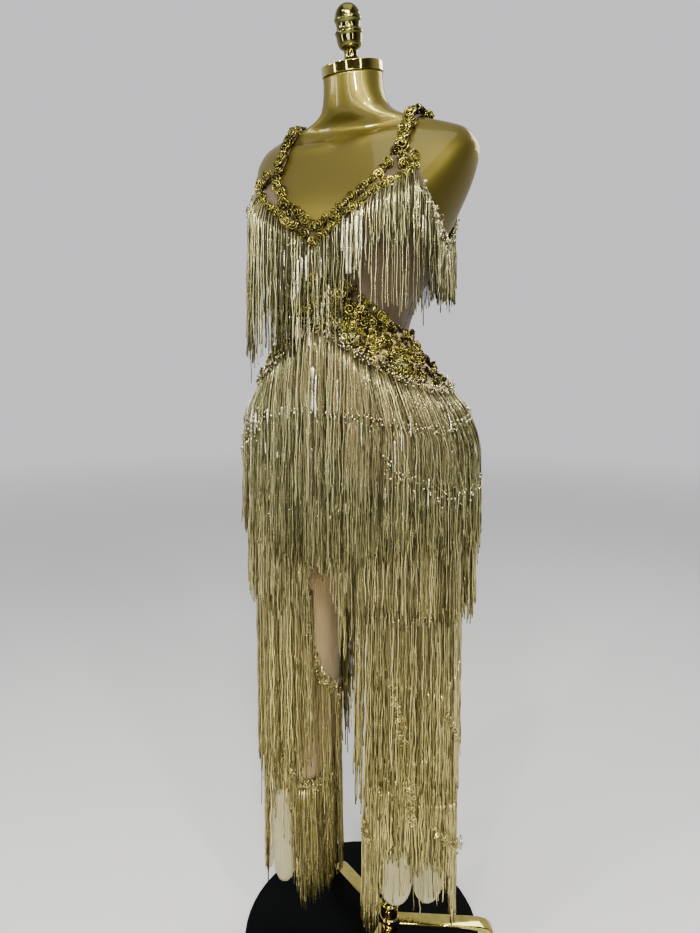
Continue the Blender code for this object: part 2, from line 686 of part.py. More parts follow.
def leg_fringes():
    """Two tiers down each leg, which leave the inseam bare. The lower one parts over the front petals."""
    step = 180 / QUARTER
    reaches = {
        ("left", "upper"): (-54, 234),
        ("left", "lower"): (-72, 252),
        ("right", "upper"): (-54, 234),
        ("right", "lower"): (-72, 252),
    }
    ends = {"upper": (LEG_UPPER_TOP, LEG_UPPER_END), "lower": (LEG_LOWER_TOP, LEG_LOWER_END)}
    parting = {"left": (-36, -18, 72, 90), "right": (-54, -36, 18, 36)}
    for (side, tier), (first, last) in reaches.items():
        facet = lambda at, turn, side=side: leg_facet(side, at, turn)
        turns = turns_between(first, last, step)
        start, end = ends[tier]
        cleared = [end, PARTED_END, PARTED_END, end] if tier == "lower" else [end] * 4
        top = lambda _turn, start=start: start
        bottom = lambda turn, side=side, cleared=cleared: float(np.interp(turn, parting[side], cleared))
        free_below = ends[tier][0] - 0.060
        seat = CLOTH + LAID
        name = f"leg_fringe_{tier}_{side}"
        fringe(name, facet, turns, top, bottom, seat, LEG_SWING, free_below=free_below)


def main():
    for old in list(bpy.data.objects):
        bpy.data.objects.remove(old)
    base_plate()
    pole_and_hub()
    tripod_arms()
    form = dress_form()
    neck_cap_and_finial()
    bodice()
    straps(form)
    rosette_rows()
    waist_bands()
    trouser_panels()
    hem_petals()
    body_fringes()
    leg_fringes()


main()
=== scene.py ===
# %% [markdown]
# # A gold fringe jumpsuit on a dress form
#
# A stage jumpsuit like this one is three things laid over each other: a skin of nude mesh, rows of
# trim sewn on it, and tiers of loose strands that hang from the trim. The stand under it is polished
# metal and lacquer. The imported model gives the sizes and places, and this script makes the surfaces.
# First the model is loaded.

# %% Load the model
import math

import bmesh
import bpy
import numpy as np
from mathutils import Matrix, Vector


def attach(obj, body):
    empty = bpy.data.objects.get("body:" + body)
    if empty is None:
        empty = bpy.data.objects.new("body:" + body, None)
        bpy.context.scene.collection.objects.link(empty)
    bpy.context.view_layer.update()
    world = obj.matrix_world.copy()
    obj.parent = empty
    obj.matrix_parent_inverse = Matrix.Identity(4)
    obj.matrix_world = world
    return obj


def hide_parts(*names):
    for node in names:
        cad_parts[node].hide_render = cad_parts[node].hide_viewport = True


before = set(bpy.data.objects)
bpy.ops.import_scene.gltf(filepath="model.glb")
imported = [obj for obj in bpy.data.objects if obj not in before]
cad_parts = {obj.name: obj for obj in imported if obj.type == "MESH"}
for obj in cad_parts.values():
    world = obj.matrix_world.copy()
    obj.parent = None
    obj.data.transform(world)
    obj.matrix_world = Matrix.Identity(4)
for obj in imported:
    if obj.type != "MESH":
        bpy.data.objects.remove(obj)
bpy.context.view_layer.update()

ROOT = "root"
SIDES = {"left": 1, "right": -1}        # the wearer's left is +X
draw = np.random.default_rng(28)

# %% [markdown]
# ## Picking and changing objects
#
# Operators act on what is selected and active, so each step first says which object it means.

# %% Object helpers


def deselect_all():
    """Leaves Edit Mode and selects nothing."""
    if bpy.context.object and bpy.context.object.mode != "OBJECT":
        bpy.ops.object.mode_set(mode="OBJECT")
    bpy.ops.object.select_all(action="DESELECT")


def pick(made):
    """Makes one object the only one that operators act on."""
    deselect_all()
    made.select_set(True)
    bpy.context.view_layer.objects.active = made


def modify(made, kind, **settings):
    """Adds a modifier to an object and applies it."""
    pick(made)
    added = made.modifiers.new(kind.lower(), kind)
    for key, value in settings.items():
        setattr(added, key, value)
    bpy.ops.object.modifier_apply(modifier=added.name)


def merged_copy(node, name):
    """A copy of a node with its doubled points merged, left in Edit Mode with all selected."""
    made = node.copy()
    made.data = node.data.copy()
    made.name = name
    bpy.context.scene.collection.objects.link(made)
    pick(made)
    bpy.ops.object.mode_set(mode="EDIT")
    bpy.ops.mesh.select_all(action="SELECT")
    bpy.ops.mesh.remove_doubles(threshold=0.00003)
    return made


def smooth_shade(made, sharp_degrees):
    """Shades a piece smooth, except at edges that turn more than this."""
    made.data.shade_smooth()
    made.data.set_sharp_from_angle(angle=math.radians(sharp_degrees))


# %% [markdown]
# ## Camera, floor and light
#
# The camera stands a little to the wearer's left, as high as the waist, and looks down slightly. Its
# lens is given by the focal length in pixels over the height of the picture. The floor is a wide disc
# whose finish fades out towards its rim, so that no horizon cuts the view. One strong lamp behind and
# above the camera makes the highlights on the lacquer, weaker ones open the shadows, narrow upright
# ones draw streaks in the polished metal, and four small ones make points of light on sequins and
# gloss. Gold shows what it mirrors, so the surroundings are dim on the camera's side and pale behind
# the figure.

# %% Camera
FOCAL_PX = 650
PICTURE_HEIGHT_PX = 933
CAMERA_PLACE = (0.4872, -0.9630, 1.074)
CAMERA_TURN = 28.0
CAMERA_DIP = 9.5

deselect_all()
bpy.ops.object.camera_add(
    location=CAMERA_PLACE,
    rotation=(math.radians(90 - CAMERA_DIP), 0, math.radians(CAMERA_TURN)),
)
camera = bpy.context.object
camera.name = "camera"
camera.data.lens = FOCAL_PX / PICTURE_HEIGHT_PX * camera.data.sensor_width
bpy.context.scene.camera = camera

# %% Lamps


def softbox(name, place, aim, size, power, colour=(1, 1, 1), height=None):
    """An area lamp that faces a point. It lights and is mirrored, but isn't seen itself."""
    bpy.ops.object.light_add(type="AREA", location=place)
    lamp = bpy.context.object
    lamp.name = name
    lamp.data.shape = "RECTANGLE"
    lamp.data.size = size
    lamp.data.size_y = height or size
    lamp.data.energy = power
    lamp.data.color = colour
    lamp.rotation_euler = (Vector(aim) - Vector(place)).to_track_quat("-Z", "Y").to_euler()
    lamp.visible_camera = False


CHEST = (0, -0.05, 1.2)
softbox("key_lamp", (1.3, -2.2, 3.0), CHEST, 0.6, 84, (1, 0.97, 0.92))
softbox("left_lamp", (-2.4, -1.6, 2.3), (0, 0, 0.9), 0.9, 18, (0.92, 0.96, 1))
softbox("back_lamp", (0.9, 2.4, 2.6), CHEST, 1.5, 34)
softbox("top_lamp", (0.25, -0.55, 3.1), (0, 0, 1.3), 1.6, 11)
softbox("low_lamp", (0.9, -2.6, 0.7), (0, 0, 0.5), 1.0, 15)
for number, place in enumerate(((0.35, -2.0, 2.9), (1.9, -1.2, 2.5), (-0.7, -1.8, 3.0), (1.2, -1.9, 1.9))):
    softbox(f"glint_lamp_{number}", place, CHEST, 0.09, 15, (1, 0.98, 0.94))
for number, place in enumerate(((1.85, -1.25, 1.6), (0.25, -2.3, 1.6), (-1.2, -1.5, 1.5))):
    softbox(f"strip_lamp_{number}", place, CHEST, 0.10, 8, (1, 0.99, 0.96), 1.5)

# %% Surroundings
AHEAD = (-0.469, 0.883, 0)              # the way the camera looks
world = bpy.data.worlds.new("studio")
bpy.context.scene.world = world
world.use_nodes = True
nodes = world.node_tree.nodes
links = world.node_tree.links
where = nodes.new("ShaderNodeTexCoord")
facing = nodes.new("ShaderNodeVectorMath")
facing.operation = "DOT_PRODUCT"
facing.inputs[1].default_value = AHEAD
light = nodes.new("ShaderNodeMapRange")
for socket, value in (("From Min", -0.5), ("From Max", 0.6), ("To Min", 0.09), ("To Max", 0.66)):
    light.inputs[socket].default_value = value
nodes["Background"].inputs["Color"].default_value = (0.97, 0.96, 1.0, 1)
links.new(where.outputs["Generated"], facing.inputs[0])
links.new(facing.outputs["Value"], light.inputs["Value"])
links.new(light.outputs["Result"], nodes["Background"].inputs["Strength"])
bpy.context.scene.view_settings.look = "AgX - Medium High Contrast"

# %% [markdown]
# ## Writing a material as a sum
#
# A finish is easier to read as arithmetic than as a web of nodes. `Wire` wraps the socket that a node
# gives out and overloads the operators, and `Finish` adds nodes to one material. What is the same all
# over is set straight on the shader's sockets.

# %% Shader helpers


class Wire:
    """A socket that can be used in sums, each of which adds a Math node."""

    def __init__(self, finish, socket):
        self.finish = finish
        self.socket = socket

    def math(self, operation, *values):
        return self.finish.add("Math", {"operation": operation}, *values)

    def __add__(self, other):
        return self.math("ADD", self, other)

    def __mul__(self, other):
        return self.math("MULTIPLY", self, other)

    def wave(self, length):
        """A sine wave along this value."""
        return self.math("SINE", self * (2 * math.pi / length))

    def output(self, index):
        """Another output of the same node."""
        return Wire(self.finish, self.socket.node.outputs[index])


class Finish:
    """One material with a Principled shader, whose constant values are given by name."""

    def __init__(self, name, **constants):
        self.material = bpy.data.materials.new(name)
        self.material.use_nodes = True
        self.tree = self.material.node_tree
        self.shader = self.tree.nodes["Principled BSDF"]
        self.material.diffuse_color = (*constants["base_color"], 1)
        for key, value in constants.items():
            self.set(key.replace("_", " ").title().replace("Ior", "IOR"), value)

    def set(self, socket, value):
        self.feed(self.shader.inputs[socket], value)

    def feed(self, socket, value):
        if isinstance(value, Wire):
            self.tree.links.new(value.socket, socket)
        elif isinstance(value, tuple) and len(value) == 3 and socket.type == "RGBA":
            socket.default_value = (*value, 1)
        else:
            socket.default_value = value

    def add(self, kind, settings=None, *values, out=0, **named):
        """A new node: its settings first, then its inputs in order or by name."""
        node = self.tree.nodes.new("ShaderNode" + kind)
        for key, value in (settings or {}).items():
            setattr(node, key, value)
        for key, value in [*enumerate(values), *named.items()]:
            self.feed(node.inputs[key], value)
        return Wire(self, node.outputs[out])

    def place(self, stretch=(1, 1, 1)):
        """Object coordinates, stretched so that a grain can run along one axis."""
        where = self.add("TexCoord", out="Object")
        return self.add("Mapping", None, where, Scale=stretch)

    def noise(self, scale, detail=2.0, stretch=(1, 1, 1)):
        return self.add("TexNoise", None, self.place(stretch), Scale=scale, Detail=detail)

    def mix(self, share, low, high):
        """A colour between two, by a share from 0 to 1."""
        made = self.add("Mix", {"data_type": "RGBA"}, share)
        for index, value in ((6, low), (7, high)):
            self.feed(made.socket.node.inputs[index], value)
        return made.output(2)

    def spread(self, value, low, high, new_low=0.0, new_high=1.0):
        """A value moved from one range to another and held inside it."""
        return self.add("MapRange", None, value, low, high, new_low, new_high)

    def attribute(self, name):
        return self.add("Attribute", {"attribute_name": name}, out="Fac")

    def bump(self, height, strength, distance):
        found = self.add("Bump", None, Height=height, Strength=strength, Distance=distance)
        self.set("Normal", found)

    def paint(self, share, dark, light):
        """Varies the colour between two."""
        self.set("Base Color", self.mix(share, dark, light))

    def roughen(self, value, low, high, smooth, rough):
        """Varies the roughness between two."""
        self.set("Roughness", self.spread(value, low, high, smooth, rough))


# %% The floor
FLOOR_RADIUS = 9.0
JUST_BELOW = -0.0005
deselect_all()
bpy.ops.mesh.primitive_circle_add(
    vertices=96, radius=FLOOR_RADIUS, fill_type="NGON", location=(0, 0, JUST_BELOW)
)
floor = bpy.context.object
floor.name = "floor"
pale = Finish("pale_floor", base_color=(0.62, 0.62, 0.61), roughness=0.42)
away = pale.add("VectorMath", {"operation": "LENGTH"}, pale.place(), out="Value")
clear = pale.add("BsdfTransparent")
solid = Wire(pale, pale.shader.outputs[0])
blend = pale.add("MixShader", None, pale.spread(away, 1.6, 6.5), solid, clear)
pale.tree.links.new(blend.socket, pale.tree.nodes["Material Output"].inputs["Surface"])
floor.data.materials.append(pale.material)

# %% [markdown]
# ## The finishes
#
# *Lacquer* on the form is olive gold with a clear gloss coat, and a slow change of tone keeps it from
# looking like plastic. *Polished metal* on the stand is nearly a mirror, and the metal of the finial
# has aged darker; faint wipe marks change the tone and the roughness of both. *Mesh* and *pleats* are
# cloth with a weave in the bump, and the pleats are painted into the colour as stripes of painted
# shade. The bodice's mesh is painted dark, as painted shade under the fringe. The three golds of the
# trim differ in how yellow and how sharp they are: rosettes are deep yellow braid, sequins are pale
# and mirror-like, and the strands are twisted lurex whose tone changes from strand to strand. Braid,
# sequins and strands all have painted glints: small patches where the colour is lighter.

# %% Lacquer, metal and the base
lacquer = Finish(
    "olive_gold_lacquer", base_color=(0.20, 0.165, 0.03), metallic=0.8, roughness=0.4, coat_weight=0.5,
    coat_roughness=0.035, specular_tint=(0.55, 0.47, 0.28, 1),
)
cloudy = lacquer.spread(lacquer.noise(3.2, 1.0), 0.35, 0.65)
lacquer.paint(cloudy, (0.130, 0.108, 0.028), (0.205, 0.173, 0.050))
lacquer.roughen(lacquer.noise(5, 1.0), 0.35, 0.65, 0.38, 0.44)

polished = Finish("polished_gold", base_color=(0.62, 0.50, 0.17), metallic=1.0, roughness=0.1)
wiped = polished.noise(60, 3.0, (1, 1, 0.15))
polished.roughen(wiped, 0.3, 0.75, 0.04, 0.15)
polished.paint(polished.spread(wiped, 0.3, 0.8), (0.42, 0.36, 0.11), (0.58, 0.51, 0.19))

aged = Finish("aged_gold", base_color=(0.36, 0.32, 0.11), metallic=1.0, roughness=0.1)
cast = aged.noise(45, 3.0)
aged.paint(aged.spread(cast, 0.3, 0.7), (0.150, 0.142, 0.048), (0.255, 0.238, 0.085))
aged.roughen(cast, 0.3, 0.75, 0.05, 0.16)

powder = Finish(
    "black_powder_coat", base_color=(0.0015, 0.002, 0.0022), roughness=0.6, specular_ior_level=0.12
)
powder.bump(powder.noise(420, 1.0), 0.12, 0.0004)
powder.roughen(powder.noise(7, 3.0), 0.3, 0.7, 0.5, 0.66)

ring_dark = Finish("dark_bronze", base_color=(0.05, 0.038, 0.014), metallic=0.9, roughness=0.3)
ring_dark.roughen(ring_dark.noise(90, 2.0), 0.3, 0.7, 0.24, 0.38)

# %% Mesh cloth and pleated cloth
THREAD = 0.0011          # distance between two threads of the mesh
PLEAT = 0.0036           # width of one fine pleat of the trousers
PETAL_PLEAT = 0.0022     # and of a petal


def cloth_finish(name, dark, light, pleat_depth, pleat=PLEAT):
    """Woven cloth on a UV map in metres: u runs round the piece and v up it."""
    made = Finish(name, base_color=light, roughness=0.78, sheen_weight=0.25, sheen_roughness=0.4)
    across = made.add("SeparateXYZ", None, made.add("UVMap", {"uv_map": "cloth"}))
    weave = across.wave(THREAD) * across.output(1).wave(THREAD)
    pleats = across.wave(pleat)
    # The pleats also lighten and darken the colour in stripes: painted shade of the folds, beside their bump.
    shade = made.spread(pleats, -1, 1, 0.25, 0.75) * pleat_depth + made.noise(16, 3.0) * 0.5 + weave * 0.10
    made.paint(made.spread(shade, 0.05, 0.75), dark, light)
    made.bump(weave * 0.15 + pleats * pleat_depth, 0.5, 0.0008)
    return made


# The bodice and strap mesh is painted much darker than the nude cloth: painted shade under the fringe and
# rosettes.
nude_mesh = cloth_finish("nude_mesh_painted_shade", (0.050, 0.034, 0.016), (0.108, 0.078, 0.043), 0.10)
trouser_mesh = cloth_finish("pleated_nude_mesh", (0.175, 0.128, 0.052), (0.430, 0.325, 0.165), 0.85)
cream = cloth_finish("cream_pleats", (0.155, 0.134, 0.062), (0.400, 0.366, 0.216), 0.85, PETAL_PLEAT)

# %% Trim and strands


def trim_finish(name, dark, light, rough, metal, grain):
    """Metallic thread: its tone differs from copy to copy, and small patches are painted lighter as painted
    glints, where the roughness changes too.
    """
    made = Finish(name, base_color=light, metallic=metal, roughness=rough)
    glint = made.noise(grain, 2.0)
    # The noise lightens the colour in small patches: painted glints.
    made.paint(made.attribute("tone") * 0.75 + made.spread(glint, 0.35, 0.65) * 0.35, dark, light)
    made.roughen(glint, 0.3, 0.7, rough * 0.7, rough * 1.5)
    return made


braid = trim_finish("gold_braid", (0.016, 0.013, 0.004), (0.344, 0.302, 0.080), 0.20, 0.96, 260)
sequin = trim_finish("pale_sequins", (0.22, 0.19, 0.09), (0.93, 0.86, 0.60), 0.14, 0.97, 300)
tinsel = trim_finish("bright_tinsel", (0.25, 0.23, 0.12), (0.97, 0.93, 0.74), 0.22, 0.92, 90)

strand_gold = Finish("lurex_strands", base_color=(0.6, 0.5, 0.28), metallic=0.88, roughness=0.34)
# Spots along the strands: they lighten the colour as painted glints, and make the thread smoother there.
glint_spots = strand_gold.noise(170, 2.0, (1, 1, 0.3))
height = strand_gold.add("SeparateXYZ", None, strand_gold.place()).output(2)
warm = strand_gold.spread(height, 0.45, 0.92, 1.0, 0.0)      # the strands are warmer towards the floor
dim = strand_gold.mix(warm, (0.024, 0.021, 0.010), (0.150, 0.122, 0.044))
bright = strand_gold.mix(warm, (0.800, 0.755, 0.410), (0.930, 0.830, 0.400))
tone = strand_gold.attribute("tone") * 0.88 + strand_gold.spread(glint_spots, 0.42, 0.66) * 0.22
strand_gold.paint(tone, dim, bright)
strand_gold.roughen(glint_spots, 0.3, 0.7, 0.42, 0.2)

# %% [markdown]
# ## Helpers for meshes
#
# The trim and the fringe are the same small shape thousands of times over. Each shape is modelled
# once; its points are then copied to every place in one go and joined in one mesh, with a number
# called `tone` on each copy, which the finish reads to vary the colour.

# %% Mesh helpers


def adopt(piece, finish, slot, *replaced):
    """Rides a finished piece on the part with its finish, and hides the nodes that it stands for. The slot is
    not used.
    """
    piece.data.materials.clear()
    piece.data.materials.append(finish.material)
    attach(piece, ROOT)
    if replaced:
        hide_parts(*replaced)
    return piece


def piece_from(name, points, faces, tone=None):
    """A mesh object from arrays of points and faces."""
    data = bpy.data.meshes.new(name)
    data.from_pydata(np.asarray(points).reshape(-1, 3).tolist(), [], [list(map(int, f)) for f in faces])
    data.shade_smooth()
    if tone is not None:
        layer = data.attributes.new("tone", "FLOAT", "POINT")
        layer.data.foreach_set("value", np.ascontiguousarray(tone, dtype=np.float32).ravel())
    made = bpy.data.objects.new(name, data)
    bpy.context.scene.collection.objects.link(made)
    return made


def grid_faces(index):
    """Four-sided faces between the rows and columns of a grid of point numbers."""
    corners = index[..., :-1, :-1], index[..., :-1, 1:], index[..., 1:, 1:], index[..., 1:, :-1]
    return np.stack(corners, axis=-1).reshape(-1, 4)


def shape_of(made):
    """The points and faces of a modelled shape, which is then removed."""
    points = np.array([v.co for v in made.data.vertices])
    faces = [list(p.vertices) for p in made.data.polygons]
    bpy.data.objects.remove(made)
    return points, faces


def copies(name, shape, places):
    """One mesh of a shape at many places, each a 4 by 4 matrix, with a tone drawn for each copy."""
    points, faces = shape
    tones = draw.uniform(0, 1, len(places))
    full = np.concatenate([points, np.ones((len(points), 1))], axis=1)
    placed = np.einsum("mij,pj->mpi", np.asarray(places)[:, :3], full)
    all_faces = []
    for k in range(len(places)):
        all_faces += [[index + k * len(points) for index in face] for face in faces]
    return piece_from(name, placed, all_faces, np.repeat(tones, len(points)))


def stand_at(point, out, turn=0.0, size=1.0):
    """A place on a surface: local Z points out of it."""
    facing = Vector(out).to_track_quat("Z", "Y").to_matrix().to_4x4()
    spin = Matrix.Rotation(turn, 4, "Z")
    return np.array(Matrix.Translation(Vector(point)) @ facing @ spin @ Matrix.Scale(size, 4))


def distances(points):
    """How far along a chain of points each of them lies."""
    steps = np.linalg.norm(np.diff(points, axis=0), axis=-1)
    return np.concatenate([[0], np.cumsum(steps)])


def read_at(place, along, values):
    """What a chain's values are at these distances along it."""
    return np.stack([np.interp(place, along, column) for column in values.T], axis=-1)


# %% [markdown]
# ## The figure as a smooth tube
#
# Everything that is sewn on or hangs has to follow the body, so the body is needed as a function:
# give a level and a turn, and get a point and the outward direction. The form's solid holds rings of
# points every 36.5 mm in height and 9 degrees in turn. They are read from its mesh and joined by a
# smooth curve both ways. The legs are read in the same way from the trouser panels.

# %% Tubes
AROUND = (-1, 0, 1, 2)   # a curve between two rows also bends with the row before and the row after


def curve(a, b, c, d, t):
    """A smooth curve from b to c, with a before them and d after."""
    return 0.5 * (2 * b + (c - a) * t + (2 * a - 5 * b + 4 * c - d) * t**2 + (3 * b - a - 3 * c + d) * t**3)


def merged_points(node):
    """A node's points, each once."""
    mesh = bmesh.new()
    mesh.from_mesh(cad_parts[node].data)
    bmesh.ops.remove_doubles(mesh, verts=mesh.verts, dist=3e-5)
    points = np.array([v.co for v in mesh.verts])
    mesh.free()
    return points


def rings_of(points, count):
    """{level: the points on it} for the levels that hold this many points."""
    points = points[np.argsort(points[:, 2])]
    cuts = np.nonzero(np.diff(points[:, 2]) > 1e-4)[0] + 1
    found = [ring for ring in np.split(points, cuts) if len(ring) == count]
    return {float(ring[:, 2].mean()): ring for ring in found}


class Tube:
    """A closed tube given by rings at even turns. Levels may be uneven."""

    def __init__(self, levels, rings, first_turn, step):
        self.levels = np.array(levels)
        self.rings = np.array(rings)
        self.first_turn = first_turn
        self.step = step
        self.centre = self.rings.mean(axis=(0, 1))

    def flat(self, level, turn):
        """The x and y at a level and turn, on smooth curves through the rings."""
        column = (turn - self.first_turn) / self.step
        k = np.floor(column).astype(int)
        t = (column - k)[..., None]
        columns = self.rings.shape[1]
        last = len(self.levels) - 1
        level = np.clip(level, self.levels[0], self.levels[-1])
        row = np.clip(np.searchsorted(self.levels, level, side="right") - 1, 0, last - 1)
        share = ((level - self.levels[row]) / (self.levels[row + 1] - self.levels[row]))[..., None]

        def ring_at(row):
            return curve(*(self.rings[row, (k + n) % columns] for n in AROUND), t)

        rows = [ring_at(np.clip(row + n, 0, last)) for n in AROUND]
        inside = ((row > 0) & (row < last - 1))[..., None]
        return np.where(inside, curve(*rows, share), rows[1] + (rows[2] - rows[1]) * share)

    def at(self, level, turn):
        """The point's x and y, and the level outward direction there."""
        level, turn = np.broadcast_arrays(np.asarray(level, float), np.asarray(turn, float))
        here = self.flat(level, turn)
        run = self.flat(level, turn + 1.5) - self.flat(level, turn - 1.5)
        out = np.stack([run[..., 1], -run[..., 0]], axis=-1)
        out /= np.linalg.norm(out, axis=-1, keepdims=True)
        inwards = ((here - self.centre) * out).sum(-1, keepdims=True) < 0
        return here, np.where(inwards, -out, out)

    def point(self, level, turn, off=0.0):
        """Full points, this far off the tube."""
        here, out = self.at(level, turn)
        flat = here + out * np.asarray(off)[..., None]
        level = np.broadcast_to(level, flat.shape[:-1])
        return np.concatenate([flat, level[..., None]], axis=-1)

    def chain(self, level, turn, off):
        """Points along a line on the tube, and the outward directions there."""
        out = self.at(level, turn)[1]
        return self.point(level, turn, off), np.concatenate([out, np.zeros((len(out), 1))], axis=1)


def line_on(tube, header, first, last, off, count=240):
    """Points and outward directions along a header, from one turn to another."""
    turns = np.linspace(first, last, count)
    return tube.chain(header(turns), turns, off)


# %% The torso
FORM_RING = 40           # points in one ring of the form
TORSO = (0.88, 1.335)    # levels between which the form is one tube
EASE = 0.0030            # from the form to the cloth
CLOTH = 0.0015           # the cloth's room in the model

form_rings = rings_of(merged_points("dress_form"), FORM_RING)
torso_levels = [level for level in sorted(form_rings) if TORSO[0] < level < TORSO[1]]
torso_rings = []
for level in torso_levels:
    ring = form_rings[level]
    middle = (ring[:, 1].min() + ring[:, 1].max()) / 2
    order = np.argsort(np.arctan2(ring[:, 0], -(ring[:, 1] - middle)))
    ring = ring[order][:, :2]
    front = np.argmin(np.abs(ring[:, 0]) + (ring[:, 1] > middle))
    torso_rings.append(np.roll(ring, -front, axis=0))
torso = Tube(torso_levels, torso_rings, 0.0, 360 / FORM_RING)

# %% The legs
RIBS = 11                # lines of points down one trouser panel, each with an inner and an outer point
CROTCH = 0.75            # below this level the panels of a leg close round it


def panel_rows(side, back):
    """The outer points of one trouser panel, level by level, from the inseam or middle to the side."""
    rings = rings_of(merged_points(f"trouser_{'back' if back else 'front'}_{side}"), 2 * RIBS)
    rows = {}
    for level, ring in rings.items():
        seam = ring[:, 1].min() if back else ring[:, 1].max()
        centre = np.array([(ring[:, 0].min() + ring[:, 0].max()) / 2, seam])
        away = ring[:, :2] - centre
        angle = np.degrees(np.arctan2(SIDES[side] * away[:, 0], -away[:, 1]))
        if back:
            angle = -((angle + 360) % 360)
        ring = ring[np.argsort(angle)]
        reach = np.linalg.norm(ring[:, :2] - centre, axis=1)
        rows[level] = ring[[2 * k + int(reach[2 * k + 1] > reach[2 * k]) for k in range(RIBS)]]
    return rows


panels = {(side, back): panel_rows(side, back) for side in SIDES for back in (False, True)}
legs = {}
for side in SIDES:
    low = [level for level in sorted(panels[side, False]) if level < CROTCH]
    rings = []
    for level in low:
        back = panels[side, True][level][::-1]
        rings.append(np.concatenate([panels[side, False][level], back[1:-1]])[:, :2])
    legs[side] = Tube(low, rings, -90.0, 18.0)

# %% [markdown]
# ## Edges of the cloth
#
# The levels of every edge, as they run from the centre front round to the centre back. Between two
# values of the table an edge is straight.

# %% Edge levels
NINES = range(0, 181, 9)                # degrees from the centre front, one for each value in a row
NECKLINE = (
    1257, 1278, 1301, 1345, 1345, 1322, 1302, 1285, 1269, 1257, 1248,
    1244, 1248, 1260, 1282, 1314, 1345, 1345, 1302, 1280, 1268,
)
EDGES = {                               # millimetres above the floor
    "neckline": NECKLINE,
    "outer_row": (1235, 1257, 1274, 1296, 1322, *NECKLINE[5:]),
    "band_top": (
        1192, 1189, 1182, 1170, 1158, 1149, 1141, 1131, 1122, 1117, 1115,
        1115, 1114, 1114, 1113, 1113, 1113, 1112, 1112, 1112, 1112,
    ),
    "band_bottom": (
        1120, 1114, 1103, 1090, 1075, 1062, 1051, 1043, 1037, 1033, 1030,
        1032, 1035, 1038, 1042, 1047, 1052, 1057, 1062, 1066, 1068,
    ),
    "hip_end": (
        760, 762, 766, 772, 778, 784, 788, 790, 790, 790, 790,
        790, 790, 790, 790, 788, 786, 784, 782, 780, 780,
    ),
}
WAIST = 1.110
ROW_DROP = 0.0070        # from the cloth's edge to the middle of its row of rosettes
ON_CLOTH = EASE + CLOTH + 0.0010


def wrapped(turn):
    """A turn from -180 to 180 degrees."""
    return (np.asarray(turn, float) + 180) % 360 - 180


def edge(name, turn):
    """The level of an edge at a turn from the centre front."""
    return np.interp(np.abs(wrapped(turn)), NINES, np.array(EDGES[name]) / 1000)


def below(name, drop):
    """A line this far under an edge, as a level by turn."""
    return lambda turn: edge(name, turn) - drop


def by_turn(turns, levels, wrap=False):
    """A level by turn, straight between these turns and levels in millimetres."""
    heights = np.array(levels) / 1000
    return lambda turn: np.interp(wrapped(turn) if wrap else np.asarray(turn, float), turns, heights)


def flat_at(level):
    """The same level at every turn."""
    return by_turn((0, 1), (level, level))


# %% [markdown]
# ## The dress form and its stand
#
# The form is a moulded shell, so its surface has no edges at all but the rim of the neck. The solid's
# flat facets would show in the gloss: a copy is merged, its triangles are paired into squares, the
# neck's rim is creased, and Subdivision Surface rounds the rest.

# %% The form
form = merged_copy(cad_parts["dress_form"], "form_shell")
bpy.ops.mesh.tris_convert_to_quads(face_threshold=math.radians(50), shape_threshold=math.radians(50))
bpy.ops.mesh.select_all(action="DESELECT")
bpy.ops.mesh.edges_select_sharp(sharpness=math.radians(62))
bpy.ops.transform.edge_crease(value=1.0)
modify(form, "SUBSURF", levels=2, render_levels=2)

# %% [markdown]
# The chest of a display form is modelled: two collar bones run out from a small hollow at the foot of
# the neck. They are soft, so each is a swelling of three millimetres added to the points near its line,
# with a groove above it.

# %% Collar bones


def swell(distance, width):
    """A soft hump: 1 on a line, and next to nothing two widths away."""
    return np.exp(-((distance / width) ** 2))


skin = np.array([v.co for v in form.data.vertices])
normals = np.array([v.normal for v in form.data.vertices])
x, y, z = skin.T
bone_level = 1.378 + 0.20 * np.abs(x) - 0.7 * x**2 + 0.030 * x
at_front = np.clip((-0.045 - y) / 0.02, 0, 1)
along = np.clip((np.abs(x) - 0.008) / 0.02, 0, 1) * np.clip((0.135 - np.abs(x)) / 0.05, 0, 1)
bone = 0.0030 * swell(z - bone_level, 0.0085) * along
groove = 0.0022 * swell(z - bone_level - 0.017, 0.0095) * along
hollow = 0.0030 * swell(z - 1.392, 0.012) * swell(x, 0.013)
skin += normals * (at_front * (bone - groove - hollow))[:, None]
form.data.vertices.foreach_set("co", skin.ravel())
form.data.update()
smooth_shade(form, 50)
adopt(form, lacquer, "gold_gloss", "dress_form")

# %% [markdown]
# The cap, the finial and the hub are turned pieces. Each is made as on a lathe drawing: a disc is
# extruded up, ring by ring, and each new ring is scaled to its radius.

# %% Turned pieces


def metres(outline):
    """A lathe drawing in tenths of a millimetre, as (radius, height) pairs in metres."""
    return np.array(outline) / 10000


def eased(outline, blend, cuts=3):
    """A drawing whose corners are eased, so that the metal catches a soft line of light on each."""
    corners = metres(outline)
    found = [corners[0]]
    for before, corner, after in zip(corners, corners[1:], corners[2:]):
        start = corner + (before - corner) * blend
        end = corner + (after - corner) * blend
        for k in range(cuts + 1):
            t = k / cuts
            found.append((1 - t) ** 2 * start + 2 * t * (1 - t) * corner + t * t * end)
    return [*found, corners[-1]]


